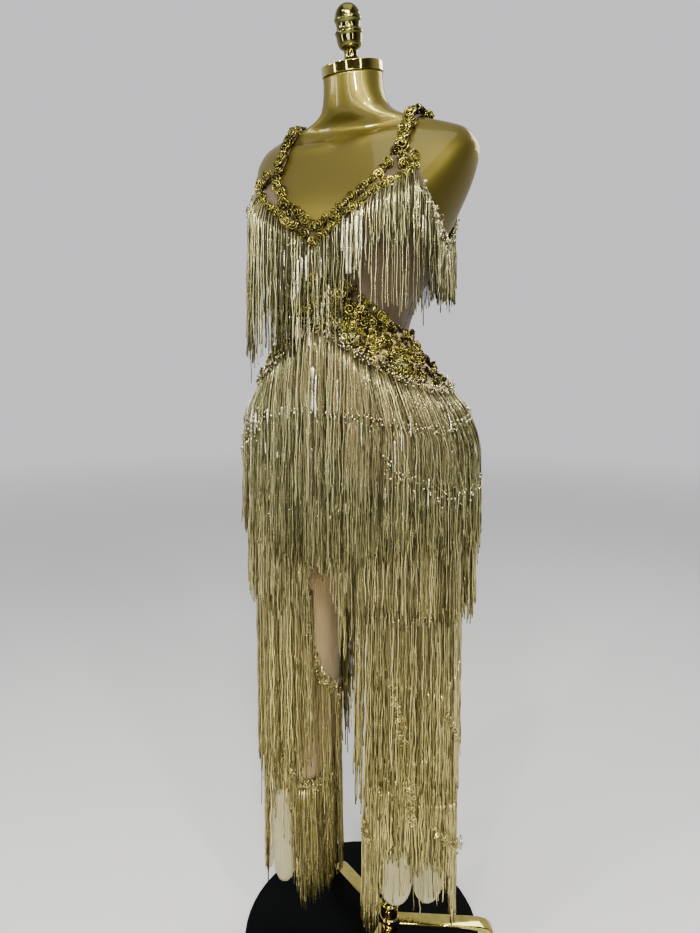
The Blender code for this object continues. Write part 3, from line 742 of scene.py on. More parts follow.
def turned(name, profile, steps, place, finish, *replaced):
    """A closed turned piece, from the bottom up. Its placement is baked in, so it stays at the origin."""
    deselect_all()
    radius, height = map(float, profile[0])
    foot = (0, 0, height)
    bpy.ops.mesh.primitive_circle_add(vertices=steps, radius=radius, fill_type="NGON", location=foot)
    made = bpy.context.object
    made.name = name
    bpy.ops.object.transform_apply(location=True)
    bpy.ops.object.mode_set(mode="EDIT")
    bpy.ops.mesh.select_all(action="SELECT")
    for new_radius, new_height in profile[1:]:
        rise = (0, 0, new_height - height)
        bpy.ops.mesh.extrude_region_move(TRANSFORM_OT_translate={"value": rise})
        share = new_radius / radius
        bpy.ops.transform.resize(value=(share, share, 1), center_override=(0, 0, new_height))
        radius, height = new_radius, new_height
    bpy.ops.mesh.select_all(action="SELECT")
    bpy.ops.mesh.normals_make_consistent(inside=False)
    bpy.ops.object.mode_set(mode="OBJECT")
    smooth_shade(made, 34)
    made.data.transform(place)
    made.data.update()
    adopt(made, finish, "gold_metal", *replaced)


CAP = ((440, 3), (460, 3), (460, 126), (452, 135), (200, 136))
CAP_TOP = 0.0138         # metres above the neck's rim
FINIAL = (
    (137, 0), (138, 52), (118, 78), (101, 100), (99, 180), (118, 198), (152, 212), (178, 260), (190, 320),
    (193, 375), (208, 395), (208, 420), (184, 440), (174, 475), (182, 530), (203, 560), (203, 582),
    (190, 605), (182, 645), (158, 700), (118, 745), (70, 772), (30, 780),
)
HUB = (
    (145, 240), (160, 250), (160, 545), (176, 560), (176, 600), (160, 615), (156, 640), (156, 780),
    (160, 815), (176, 840), (176, 880), (160, 900), (150, 918), (126, 920),
)
SLEEVE = ((157, 655), (163, 660), (163, 765), (157, 770))
on_neck = Matrix.Translation((0, -0.0375, 1.486)) @ Matrix.Rotation(math.radians(13), 4, "X")
on_cap = on_neck @ Matrix.Translation((0, 0, CAP_TOP))
on_pole = Matrix.Translation((0.060, -0.004, 0))
turned("neck_cap_band", eased(CAP, 0.12), 96, on_neck, polished, "neck_cap")
turned("finial_turned", eased(FINIAL, 0.42, 2), 64, on_cap, aged, "finial")
turned("stand_collar", eased(HUB, 0.25), 48, on_pole, polished, "stand_hub")
turned("collar_sleeve", metres(SLEEVE), 48, on_pole, ring_dark)

# %% Arms, base and pole
for number in (1, 2, 3):
    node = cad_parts[f"stand_arm_{number}"]
    arm = merged_copy(node, f"tripod_bar_{number}")
    bpy.ops.mesh.dissolve_limited(angle_limit=math.radians(2))
    modify(arm, "BEVEL", width=0.0022, segments=3, limit_method="ANGLE", angle_limit=math.radians(30))
    smooth_shade(arm, 40)
    adopt(arm, polished, "gold_metal", node.name)

for name, finish in (("base_plate", powder), ("pole", polished)):
    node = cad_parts[name]
    node.data.materials.clear()
    node.data.materials.append(finish.material)

# %% [markdown]
# ## The mesh skin
#
# The bodice is two stretched panels that lie on the form. Each is a fine grid on the tube, just off the
# lacquer, with small puckers where the trim pulls at it, and Solidify gives the cloth its body.

# %% Cloth helpers
WALL = 0.0007            # thickness of the visible cloth
sheets = []


def cloth_sheet(node, points, finish, slot, held, under, uv=None):
    """The sheet for a node, from a grid of points, with a UV map in metres and a thin wall."""
    index = np.arange(points[..., 0].size).reshape(points.shape[:2])
    made = piece_from(node.replace("_", "_cloth_", 1), points, grid_faces(index))
    uv = metres_along(points) if uv is None else uv
    layer = made.data.uv_layers.new(name="cloth")
    corners = np.array([loop.vertex_index for loop in made.data.loops])
    layer.data.foreach_set("uv", uv.reshape(-1, 2)[corners].astype(np.float32).ravel())
    modify(made, "SOLIDIFY", thickness=WALL, offset=0)
    adopt(made, finish, slot, node)
    sheets.append((made, held, [under]))


def metres_along(points):
    """UV in metres for a grid: u along the rows from their middle, v the level."""
    steps = np.linalg.norm(np.diff(points, axis=1), axis=-1)
    along = np.concatenate([np.zeros((len(points), 1)), np.cumsum(steps, axis=1)], axis=1)
    along -= along[:, [along.shape[1] // 2]]
    return np.stack([along, points[..., 2]], axis=-1)


# %% Bodice
SEAM = WAIST + 0.0006    # the bodice starts just above the trousers
for name, first in (("front", -90), ("back", 90)):
    turns = np.linspace(first + 0.2, first + 179.8, 121)
    share = np.linspace(0, 1, 37)[:, None]
    level = SEAM + (edge("neckline", turns) - WAIST - 0.0006) * share
    pucker = 0.0005 * np.sin(turns * 0.9 + 14 * level) * np.sin(90 * level + turns * 0.3)
    grid = torso.point(level, turns[None, :], EASE + CLOTH / 2 + pucker * (1 - abs(2 * share - 1)))
    cloth_sheet(f"bodice_{name}", grid, nude_mesh, "nude_mesh", "stretched", "dress_form")

# %% [markdown]
# A strap is read from its solid as a chain of steps over the shoulder, each with an inner edge, a
# middle and an outer edge. It is drawn a little narrower than the solid, so that the rosettes cover it.

# %% Straps
STRAP_HEART = np.array((-0.010, 1.3475))          # y and z of the point that the straps bend round
STRAP_STEPS = 61
STRAP_SHARE = 0.72
STRAP_CLOTH = (0.0155, 0.246)


def strap_rows(side):
    """The strap's outer surface: inner edge, middle and outer edge at each step over the shoulder."""
    points = merged_points(f"strap_{side}")
    away = points[:, 1:] - STRAP_HEART
    angle = np.arctan2(away[:, 1], -away[:, 0])
    angle = np.where(angle < -math.pi / 2, angle + 2 * math.pi, angle)   # the back end lies at half a turn
    points = points[np.argsort(angle)].reshape(-1, 6, 3)
    rows = []
    for step in points:
        step = step[np.argsort(step[:, 0])].reshape(3, 2, 3)
        far = np.linalg.norm(step[..., 1:] - STRAP_HEART, axis=-1).argmax(axis=1)
        rows.append(step[np.arange(3), far])
    return np.array(rows)


def resample(points, count):
    """Even points along a chain of points."""
    along = distances(points)
    return read_at(np.linspace(0, along[-1], count), along, points)


def softened(points, rounds=2):
    """A chain of points with its small kinks averaged out, ends kept."""
    for _ in range(rounds):
        middle = (points[:-2] + 2 * points[1:-1] + points[2:]) / 4
        points = np.concatenate([points[:1], middle, points[-1:]])
    return points


straps = {side: strap_rows(side) for side in SIDES}
for side, rows in straps.items():
    inner, middle, outer = (softened(resample(rows[:, k], STRAP_STEPS)) for k in range(3))
    inner, outer = (middle + (line - middle) * STRAP_SHARE for line in (inner, outer))
    grid = np.stack([inner, (inner + middle) / 2, middle, (middle + outer) / 2, outer], axis=1)
    grid[..., 2] -= WALL / 2
    across, run = np.meshgrid(np.linspace(0, STRAP_CLOTH[0], 5), np.linspace(0, STRAP_CLOTH[1], STRAP_STEPS))
    uv = np.stack([across, run], axis=-1)
    cloth_sheet(f"strap_{side}", grid, nude_mesh, "nude_mesh", "stretched", "dress_form", uv)

# %% [markdown]
# The trousers are cut in four. The model's panels already part into two legs, so smooth curves are
# drawn through their rows of points. Soft folds are added: they deepen towards the hem, where
# nothing holds the cloth.

# %% Trousers
FOLD = 0.0016
FINE_COLUMNS = 67
FINE_ROWS = 6            # rows of the finished grid for each row of the model's


def through(values, places):
    """Smooth curves through rows of values at whole numbers, read at any places between them."""
    last = len(values) - 1
    k = np.clip(np.floor(places).astype(int), 0, last - 1)
    t = (places - k).reshape(-1, *[1] * (values.ndim - 1))
    return curve(*(values[np.clip(k + n, 0, last)] for n in AROUND), t)


for (side, back), rows in panels.items():
    coarse = np.array([rows[level] for level in sorted(rows)])
    last = len(coarse) - 1
    tall = through(coarse, np.linspace(0, last, last * FINE_ROWS + 1))
    net = through(tall.transpose(1, 0, 2), np.linspace(0, RIBS - 1, FINE_COLUMNS)).transpose(1, 0, 2)
    run = np.gradient(net, axis=1)
    out = np.stack([run[..., 1], -run[..., 0]], axis=-1)
    out /= np.linalg.norm(out, axis=-1, keepdims=True) + 1e-9
    out *= -SIDES[side] if back else SIDES[side]
    share = np.linspace(0, 1, FINE_COLUMNS)
    held = np.sin(math.pi * share) ** 0.5
    depth = np.clip((0.72 - net[..., 2]) / 0.4, 0, 1) * FOLD
    fold = np.sin(share * 31 + net[..., 2] * 3) + 0.5 * np.sin(share * 67 - net[..., 2] * 5)
    net[..., :2] += out * (depth * fold * held - CLOTH / 2)[..., None]
    node = f"trouser_{'back' if back else 'front'}_{side}"
    cloth_sheet(node, net, trouser_mesh, "nude_mesh", "hung", "dress_form")

# %% [markdown]
# ## Pleated petals at the hem
#
# Each leg ends in seven petals of stiff cream cloth. Knife pleats run down them, deepest at the free
# end, and the lower edge is a round tongue. The pleats are real folds here, because they catch the
# light one by one: the grid has four columns to a pleat.

# %% Petals
PETAL_TOP = 0.3295
PETAL_SEAM = 0.331       # the level whose ring of the leg the petals follow
PETAL_END = {"left": 0.196, "right": 0.151}
PETALS = 7
PETAL_START = {"left": -22, "right": -36}
PETAL_ROUND = 0.046
PETAL_PLEATS = 17
PETAL_ROWS = 30


def petal(side, number):
    """One petal of the hem as a grid of points."""
    share = np.linspace(0, 1, PETAL_PLEATS * 4 + 1)
    turn = PETAL_START[side] + 360 / PETALS * (number + 0.012 + 0.976 * share)
    curved = np.sqrt(1 - np.minimum(np.abs(2 * share - 1), 0.995) ** 2.2)
    bottom = PETAL_END[side] + PETAL_ROUND * (1 - curved)
    down = np.linspace(0, 1, PETAL_ROWS)[:, None]
    level = PETAL_TOP + (bottom - PETAL_TOP) * down
    fold = 0.00150 * np.abs((share * PETAL_PLEATS) % 1 * 2 - 1) * (0.35 + 0.65 * down)
    belly = 0.0030 * np.sin(math.pi * share) * down**1.5
    here, out = legs[side].at(np.full(level.shape, PETAL_SEAM), turn)
    flat = here + out * (fold + belly - 0.0008)[..., None]
    return np.concatenate([flat, level[..., None]], axis=-1)


for side in SIDES:
    for number in range(PETALS):
        node = f"petal_{side}_{number + 1}"
        cloth_sheet(node, petal(side, number), cream, "pleated_cream", "hung", f"trouser_front_{side}")

# %% [markdown]
# ## Rosettes
#
# A rosette is a length of gold braid coiled on itself and stitched through. Three are made, each as a
# curve that winds outwards two to two and a half times, rising and falling like petals, and becomes a
# mesh of about 120 faces. The copies are turned, tilted and sized at random, because they were made by
# hand. A row is laid out along its edge at even steps; the band takes six rows in front and five behind.

# %% The three rosettes


def coil(name, turns, inner, outer, braid_radius, ruffle):
    """A coiled braid, open to +Z, as points and faces."""
    steps = int(turns * 9)
    data = bpy.data.curves.new(name, "CURVE")
    data.dimensions = "3D"
    data.bevel_depth = braid_radius
    data.bevel_resolution = 1
    data.use_fill_caps = True
    line = data.splines.new("POLY")
    line.points.add(steps)
    for k, point in enumerate(line.points):
        share = k / steps
        angle = 2 * math.pi * turns * share
        radius = inner + (outer - inner) * share**0.9
        rise = 0.0050 - 0.0036 * share + ruffle * math.sin(3.3 * angle)
        point.co = (radius * math.cos(angle), radius * math.sin(angle), rise, 1)
    made = bpy.data.objects.new(name, data)
    bpy.context.scene.collection.objects.link(made)
    pick(made)
    bpy.ops.object.convert(target="MESH")
    return shape_of(bpy.context.object)


ROSETTES = [
    coil("rosette_a", 2.3, 0.0009, 0.0077, 0.00135, 0.0010),
    coil("rosette_b", 2.0, 0.0013, 0.0080, 0.00145, 0.0014),
    coil("rosette_c", 2.6, 0.0007, 0.0073, 0.00125, 0.0009),
]


def row_places(points, outs, pitch, wander, lean=0.28, size=1.0):
    """Places for rosettes at even steps along a chain of points."""
    along = distances(points)
    count = max(int(round(along[-1] / pitch)), 1)
    found = []
    for place in (np.arange(count) + 0.5) * along[-1] / count:
        place += draw.normal(0, wander)
        point = read_at(place, along, points) + draw.normal(0, wander, 3)
        out = read_at(place, along, outs)
        out = out / np.linalg.norm(out) + draw.normal(0, lean, 3)
        found.append(stand_at(point, out, draw.uniform(0, 6.28), size * draw.uniform(0.88, 1.16)))
    return found


def rosette_piece(name, places, *replaced):
    """Joins three kinds of rosette at these places in one piece."""
    parts = [copies(f"{name}_{k}", shape, places[k::3]) for k, shape in enumerate(ROSETTES)]
    pick(parts[0])
    for part in parts:
        part.select_set(True)
    bpy.ops.object.join()
    parts[0].name = name
    adopt(parts[0], braid, "gold_rosettes", *replaced)


# %% Rows along the neckline and the straps
PITCH = 0.0120           # from one rosette to the next
places = []
for side, sign in SIDES.items():
    points, outs = line_on(torso, below("neckline", ROW_DROP - 0.002), 0.5 * sign, 27 * sign, ON_CLOTH, 160)
    places += row_places(points, outs, PITCH, 0.0010, size=1.1)
    middle = softened(resample(straps[side][:, 1], 90))
    middle[:, 0] += sign * 0.0010 + 0.0022 * np.sin(np.arange(90) * 0.9)
    ahead = np.gradient(middle, axis=0)
    outs = np.stack([np.zeros(90), -ahead[:, 2], ahead[:, 1]], axis=1)
    outs /= np.linalg.norm(outs, axis=1, keepdims=True)
    outs *= -1 if outs[45, 2] < 0 else 1
    places += row_places(middle + outs * 0.0010, outs, PITCH, 0.0012, size=1.32)
points, outs = line_on(torso, below("neckline", ROW_DROP), 153, 207, ON_CLOTH, 160)
places += row_places(points, outs, PITCH, 0.0010)
strap_nodes = [f"{kind}_{side}" for kind in ("strap_rosettes", "neck_rosettes") for side in SIDES]
rosette_piece("neckline_rosettes", places, *strap_nodes, "back_rosettes")

# %% The outer row
# It runs outside the neckline and climbs to the foot of the strap, where a short row closes the gap.
places = []
for side, sign in SIDES.items():
    points, outs = line_on(torso, below("outer_row", 0.004), 0.5 * sign, 31 * sign, ON_CLOTH, 160)
    places += row_places(points, outs, PITCH, 0.0012, size=1.08)
    turns = sign * np.array([32, 36, 39.5, 41, 38.5])
    outs = torso.chain(np.full(5, 1.32), turns, 0.0)[1]
    points = torso.point(np.array([1.301, 1.314, 1.325, 1.332, 1.344]), turns, ON_CLOTH)
    places += row_places(points, outs, PITCH * 0.9, 0.0010, size=1.12)
    points = torso.point(np.array([1.343, 1.343, 1.328]), sign * np.array([30.5, 34.5, 34]), ON_CLOTH)
    places += row_places(points, outs[:3], PITCH * 0.9, 0.0006, size=1.15)
rosette_piece("outer_row_rosettes", places, "outer_rosettes_left", "outer_rosettes_right")

# %% The waist band
BAND_PITCH = 0.0108
places = []
for first, last, rows in ((-92, 92, 6), (92, 268, 5)):
    turns = np.linspace(first, last, 240)
    low, high = edge("band_bottom", turns), edge("band_top", turns)
    for row in range(rows):
        points, outs = torso.chain(low + (high - low) * ((row + 0.5) / rows), turns, ON_CLOTH)
        places += row_places(points, outs, BAND_PITCH, 0.0018, 0.38, draw.uniform(0.95, 1.12))
rosette_piece("waist_rosettes", places, "waist_band_left", "waist_band_right", "waist_band_back")

# %% [markdown]
# ## Fringe
#
# Strands are sewn side by side under a header, and each hangs straight down from the widest part of
# the body that it passes. So a strand's path needs three facts: the turn and level where it starts,
# the level where it ends, and how far off the cloth it lies. All strands of a tier are worked out
# together. Neighbours cling in ropes towards their ends, each wavers a little, and no two end level.
# A strand is a thin three-sided tube, which is enough at this thickness.

# %% Strand helpers
STRAND_SIDES = 3


def hang(tube, turns, starts, ends, lift, swing, rows, lean=0.0):
    """Lines that start on a tube and only move out where the body pushes them. Lean 0 hangs plumb."""
    share = np.linspace(0, 1, rows)[None, :] ** 0.85
    level = starts[:, None] + (ends - starts)[:, None] * share
    start, out = (line[:, None] for line in tube.at(starts, turns))
    side = np.stack([-out[..., 1], out[..., 0]], axis=-1)
    drift = lean * np.minimum(starts[:, None] - level, 0.09)
    under = np.broadcast_to(turns[:, None], level.shape).astype(float)
    for _ in range(5):
        away = ((tube.at(level, under)[0] - start) * side).sum(-1) - drift
        speed = ((tube.at(level, under + 1)[0] - start) * side).sum(-1) - drift - away
        steady = np.abs(speed) > 0.0003
        step = np.where(steady, -away / np.where(steady, speed, 1), 0)
        under = np.clip(under + np.clip(step, -8, 8), turns[:, None] - 30, turns[:, None] + 30)
    reach = ((tube.at(level, under)[0] - start) * out).sum(-1)
    reach = np.maximum.accumulate(reach, axis=1) + lift[:, None] + swing * (starts[:, None] - level)
    flat = start + out * reach[..., None] + side * drift[..., None]
    paths = np.concatenate([flat, level[..., None]], axis=-1)
    return paths, np.broadcast_to(side, flat.shape), np.broadcast_to(out, flat.shape), share


def tousle(paths, side, out, share, rope, cling, waver):
    """Draws strands together in ropes towards their ends, and makes each waver."""
    strands = len(paths)
    along = distances(paths[:, 0])
    group = np.floor(along / rope + draw.uniform(0, 0.9, strands)).astype(int)
    group -= group.min()
    count = np.bincount(group, minlength=group.max() + 1)
    middle = np.bincount(group, along, minlength=group.max() + 1) / np.maximum(count, 1)
    pull = (middle[group] - along) * draw.uniform(0.3, 1.0, strands)
    strength = draw.uniform(0, cling, len(count))[group]
    shift = (pull * strength)[:, None] * np.clip(share * 1.3, 0, 1)
    depth = draw.normal(0, 0.0016, len(count))[group][:, None] * share
    phase = draw.uniform(0, 6.28, (4, strands, 1))
    beat = draw.uniform(0.6, 1.6, (2, strands, 1))
    z = paths[..., 2]
    ramp = np.clip(share * 4, 0, 1) * waver
    shift = shift + ramp * (np.sin(z * 60 * beat[0] + phase[0]) + 0.6 * np.sin(z * 150 * beat[1] + phase[1]))
    depth = depth + ramp * 0.6 * np.sin(z * 75 * beat[1] + phase[2])
    moved = paths.copy()
    moved[..., :2] += side * shift[..., None] + out * np.maximum(depth, -0.0012)[..., None]
    return moved


def tubes(paths, radius, tones):
    """Points, faces and tones of thin closed tubes along paths."""
    strands, rows = paths.shape[:2]
    angle = 2 * math.pi * np.arange(STRAND_SIDES) / STRAND_SIDES + draw.uniform(0, 6.28, (strands, 1, 1))
    ring = np.stack([np.cos(angle), np.sin(angle), np.zeros((strands, 1, STRAND_SIDES))], axis=-1)
    points = paths[:, :, None, :] + ring * radius[:, None, None, None]
    index = np.arange(strands * rows * STRAND_SIDES).reshape(strands, rows, STRAND_SIDES)
    a, b = index[:, :-1], np.roll(index[:, :-1], -1, axis=2)
    c, d = index[:, 1:], np.roll(index[:, 1:], -1, axis=2)
    quads = np.stack([a, c, d, b], axis=-1).reshape(-1, 4)
    caps = np.concatenate([index[:, 0], index[:, -1, ::-1]])
    tone = np.repeat(tones, rows * STRAND_SIDES)
    return points.reshape(-1, 3), [*quads.tolist(), *caps.tolist()], tone


def strand_piece(name, batches, *replaced):
    """One piece from several batches of (points, faces, tones)."""
    faces, base = [], 0
    for points, batch_faces, _ in batches:
        faces += [[index + base for index in face] for face in batch_faces]
        base += len(points)
    points, tones = (np.concatenate([batch[k] for batch in batches]) for k in (0, 2))
    adopt(piece_from(name, points, faces, tones), strand_gold, "fringe_gold", *replaced)
    print(name, sum(len(f) - 2 for f in faces), "triangles")


def spaced_turns(tube, header, first, last, spacing):
    """Turns from first to last whose strands start about this far apart."""
    fine = np.linspace(first, last, 400)
    along = distances(tube.flat(header(fine), fine))
    count = int(along[-1] / spacing)
    place = (np.arange(count) + 0.5 + draw.uniform(-0.35, 0.35, count)) * along[-1] / count
    return np.interp(np.sort(place), along, fine)


def strand_row(
    tube, first, last, header, end, spacing, lift, swing, rows, ragged,
    rope=0.010, cling=0.8, waver=0.0009, radius=0.00080, shade=1.0, lean=None,
):
    """One row of strands under a header. header and end are levels by turn, and shade darkens a row: painted
    shade in the dense rows underneath.
    """
    turns = spaced_turns(tube, header, first, last, spacing)
    strands = len(turns)
    starts = header(turns) + draw.normal(0, 0.0012, strands)
    ends = end(turns) + draw.normal(0, ragged, strands) - draw.exponential(ragged * 0.4, strands)
    ends = np.minimum(ends, starts - 0.02)
    lifts = lift + draw.uniform(0, 0.0022, strands)
    drifts = lean(turns)[:, None] if lean else 0.0
    paths = tousle(*hang(tube, turns, starts, ends, lifts, swing, rows, drifts), rope, cling, waver)
    return tubes(paths, radius * draw.uniform(0.8, 1.25, strands), shade * draw.beta(1.0, 1.15, strands))


def tier(name, tube, base_lift, rows, parts=("",), **common):
    """One tier of fringe in one piece, from a table of rows. It stands for this tier's parts in the model."""
    batches = []
    for first, last, header, end, spacing, lift, swing, count, ragged, looks in rows:
        span = (first, last, header, end, spacing, base_lift + lift)
        batches.append(strand_row(tube, *span, swing, count, ragged, **common, **looks))
    strand_piece(name, batches, *[name.replace("strands", "fringe") + part for part in parts])


# %% [markdown]
# A row of a tier is a line of a table: its first and last turn, its header and its end, the distance
# between strands, how much further off the cloth it lies, how much the strands swing out on their way
# down, the points on a strand, how ragged the ends are, and what else sets the row apart. In most
# tiers a dense row lies under the ones that show, painted darker as painted shade, so that the gaps
# between them look deep.

# %% Bust fringe
HEADER_LIFT = EASE + CLOTH + 0.0022
QUARTERS = [f"_{way}_{side}" for way in ("front", "back") for side in SIDES]
# A dense row that lies under the others is painted darker: painted shade.
SHADED_UNDER_ROW = {"shade": 0.2}
THICK = {"radius": 0.00085}
THIN = (-9, 13)          # between these turns the fringe is thin, so the band's rosettes show through it
BEFORE = (-92, THIN[0])
AFTER = (THIN[1], 56)
BEHIND = (56, 268)


def bust_top(turn):
    """Just under the outer row at the front, and under the armhole trim at the sides."""
    away = np.abs(wrapped(turn))
    under_row = edge("outer_row", turn) - 0.010
    under_trim = edge("neckline", turn) - np.interp(away, (36, 60, 80), (0.006, 0.008, 0.015))
    at_side = np.clip((away - 33) / 6, 0, 1)
    return under_row * (1 - at_side) + under_trim * at_side


# The strands end high over the left half of the waist band, and low elsewhere.
bust_end = by_turn(
    (-180, -92, -60, -40, -20, 12, 18, 27, 30, 54, 60, 92, 180),
    (1172, 1168, 1120, 1098, 1094, 1092, 1190, 1195, 1232, 1236, 1176, 1170, 1172), wrap=True,
)
thin_end = by_turn((28, 40, 58), (1150, 1136, 1128))
over_band = by_turn(THIN, (1150, 1185))
tier("bust_strands", torso, HEADER_LIFT, (
    (*BEFORE, bust_top, bust_end, 0.0022, 0, 0.030, 15, 0.016, SHADED_UNDER_ROW),
    (*THIN, bust_top, over_band, 0.0026, 0, 0.030, 15, 0.010, SHADED_UNDER_ROW),
    (*AFTER, bust_top, bust_end, 0.0022, 0, 0.030, 15, 0.010, SHADED_UNDER_ROW),
    (*BEFORE, bust_top, bust_end, 0.0036, 0.003, 0.034, 15, 0.016, {**THICK, "shade": 0.86}),
    (*THIN, bust_top, bust_end, 0.0068, 0.003, 0.034, 15, 0.016, {**THICK, "shade": 0.80}),
    (*THIN, bust_top, over_band, 0.0062, 0.002, 0.030, 15, 0.016, {"shade": 0.80}),
    (*AFTER, bust_top, bust_end, 0.0034, 0.003, 0.034, 15, 0.016, THICK),
    (28, 57, bust_top, thin_end, 0.0042, 0.001, 0.020, 15, 0.008, {"cling": 0.25, "waver": 0.0006}),
    (*BEHIND, bust_top, bust_end, 0.0023, 0, 0.030, 11, 0.010, SHADED_UNDER_ROW),
    (*BEHIND, bust_top, bust_end, 0.0032, 0.003, 0.030, 11, 0.010, {}),
), QUARTERS)

# %% Hip fringe
ROUND = (-180, 180)
FULL = {"radius": 0.00096}
hip_top = below("band_bottom", 0.007)
hip_end = below("hip_end", -0.010)
second_top = lambda turn: 0.985 + 0.012 * np.cos(np.radians(3 * turn))
third_top = lambda turn: 0.925 - 0.050 * np.cos(np.radians(2 * turn - 150))
third_end = lambda turn: third_top(turn) - 0.075
hip_lean = lambda turn: 0.30 * np.clip((turn - 20) / 25, 0, 1) * (turn < 110)
# The first row lies dense and low, and is painted darker as painted shade under the others.
tier("hip_strands_upper", torso, HEADER_LIFT, (
    (*ROUND, hip_top, hip_end, 0.0019, 0.0005, 0.028, 15, 0.008, {"shade": 0.64}),
    (*ROUND, second_top, hip_end, 0.0036, 0.0010, 0.030, 16, 0.011, {**FULL, "lean": hip_lean}),
    (*ROUND, hip_top, third_end, 0.0032, 0.0020, 0.038, 16, 0.018, {"radius": 0.00088, "lean": hip_lean}),
), QUARTERS)

# The lower tier's hem is level, but with an arch over the bare strip on the right thigh.
lower_top = flat_at(903)
lower_second = lambda turn: 0.845 + 0.012 * np.sin(np.radians(2 * turn))
lower_end = by_turn(
    (-180, -8, -5, -3, 0, 5, 7, 9, 180), (690, 690, 715, 745, 768, 765, 740, 690, 690), wrap=True
)
high_end = by_turn((-50, -20, 0, 40), (785, 800, 775, 700))
over_end = lambda turn: np.maximum(lower_end(turn) + 0.012, high_end(turn))
# The first row lies dense and low, and is painted darker as painted shade under the others.
tier("hip_strands_lower", torso, HEADER_LIFT, (
    (*ROUND, lower_top, lower_end, 0.0020, -0.001, 0.012, 12, 0.011, {"shade": 0.7}),
    (*ROUND, lower_top, lower_end, 0.0034, 0, 0.014, 14, 0.010, FULL),
    (*ROUND, lower_second, over_end, 0.0036, 0.002, 0.018, 11, 0.010, FULL),
), QUARTERS)

centre_end = by_turn(
    (-27, -8, -5, -3, 0, 5, 7, 9, 12, 16, 27), (730, 722, 735, 755, 778, 775, 750, 660, 632, 650, 700)
)
centre_rows = ((-27, 27, flat_at(866), centre_end, 0.0024, 0.004, 0.013, 18, 0.010, {}),)
tier("centre_strands", torso, HEADER_LIFT, centre_rows)

# %% [markdown]
# The legs' tables are shorter, because the swing is the same for all rows and the raggedness for all
# rows of a tier. Their last two values are the points on a strand and the shade; a shade of 0.55
# paints a dense under row darker, as painted shade. The bare strip down the right leg lies between two
# slanting headers.

# %% Leg fringe
LEG_LIFT = 0.0022
LEG_SWING = 0.010
LEG_RAGGED = {"upper": 0.030, "lower": 0.013}
ROPY = {"rope": 0.012, "cling": 0.45, "waver": 0.0010, "radius": 0.00108}
SIXTHS = (-80, 0, 60, 120, 180, 240)
FIFTHS = (-30, 20, 60, 120, 252)
upper_end = by_turn(SIXTHS, (430, 415, 400, 425, 435, 420))
middle_top = by_turn(SIXTHS, (560, 600, 560, 600, 570, 590))
upper_slant = by_turn((-100, -72, -52, -40), (500, 535, 600, 640))
lower_slant = by_turn((-112, -62, -39, -24), (334, 334, 350, 400))
slant_end = by_turn((-112, -40, -30, -22), (120, 118, 150, 300))
left_ends = by_turn((-76, -36, -16, -6, 44, 66, 80, 90, 252), (124, 132, 165, 300, 288, 262, 245, 126, 120))
right_ends = by_turn((-30, -20, -8, 10, 20, 34, 60, 252), (200, 320, 350, 345, 300, 160, 150, 122))
left_top = by_turn((-76, -20, 40, 90, 160, 252), (470, 440, 472, 445, 470, 450))
left_second = by_turn((-76, 0, 60, 120, 252), (360, 400, 370, 330, 360))
LEG_ROWS = {
    ("left", "upper"): (
        (-47, 234, flat_at(700), upper_end, 0.0021, 0, 20, 0.55),
        (-46, 234, middle_top, upper_end, 0.0030, 0.0024, 14, 1),
        (-46, 234, flat_at(700), upper_end, 0.0036, 0.0020, 18, 1),
    ),
    ("left", "lower"): (
        (-76, 252, left_top, left_ends, 0.0021, 0, 20, 0.55),
        (-76, 252, left_second, left_ends, 0.0032, 0.0024, 16, 1),
        (-16, 90, flat_at(420), by_turn((-16, 0, 90), (215, 230, 190)), 0.0075, 0.0010, 20, 1),
        (-76, 252, flat_at(455), left_ends, 0.0036, 0.0014, 20, 1),
    ),
    ("right", "upper"): (
        (-41, 234, flat_at(700), upper_end, 0.0021, 0, 20, 0.55),
        (-41, 234, middle_top, upper_end, 0.0030, 0.0024, 14, 1),
        (-40, 234, flat_at(700), upper_end, 0.0036, 0.0020, 18, 1),
        (-104, -50, upper_slant, flat_at(310), 0.0042, 0, 18, 0.9),
    ),
    ("right", "lower"): (
        (-30, 252, by_turn(FIFTHS, (465, 440, 472, 445, 470)), right_ends, 0.0021, 0, 20, 0.55),
        (-30, 252, by_turn(FIFTHS, (420, 400, 370, 330, 360)), right_ends, 0.0034, 0.0024, 16, 1),
        (-22, 34, flat_at(430), by_turn((-22, 6, 34), (240, 270, 200)), 0.0085, 0.0010, 20, 1),
        (-30, 252, flat_at(465), right_ends, 0.0036, 0.0014, 20, 1),
        (-112, -22, lower_slant, slant_end, 0.0018, 0, 14, 0.55),
        (-110, -26, by_turn((-110, -26), (318, 330)), by_turn((-110, -40, -26), (110, 112, 180)),
         0.0026, 0.0020, 12, 1),
    ),
}
for (side, height), lines in LEG_ROWS.items():
    ragged = LEG_RAGGED[height]
    rows = [(*line, LEG_SWING, count, ragged, {"shade": shade}) for *line, count, shade in lines]
    tier(f"leg_strands_{height}_{side}", legs[side], LEG_LIFT, rows, **ROPY)

# %% A loose thread
# One thread has come loose from the lower tier and lies across the bare strip.
low = legs["right"].point(np.array([0.722]), np.array([-30.0]), 0.010)[0]
high = torso.point(np.array([0.782]), np.array([11.0]), 0.012)[0]
share = np.linspace(0, 1, 12)[:, None]
thread = low + (high - low) * share - np.array([0, 0.004, 0.012]) * np.sin(math.pi * share)
strand_piece("loose_thread", [tubes(thread[None], np.array([0.0006]), np.array([0.9]))])

# %% [markdown]
# Some strands are flat strips of bright foil. They hang in a few places at the front, where they
# flash almost white. Each is a narrow ribbon that twists a little on its way down.

# %% Foil strips
FOIL_ROWS = 16
FOIL_WALL = 0.0002


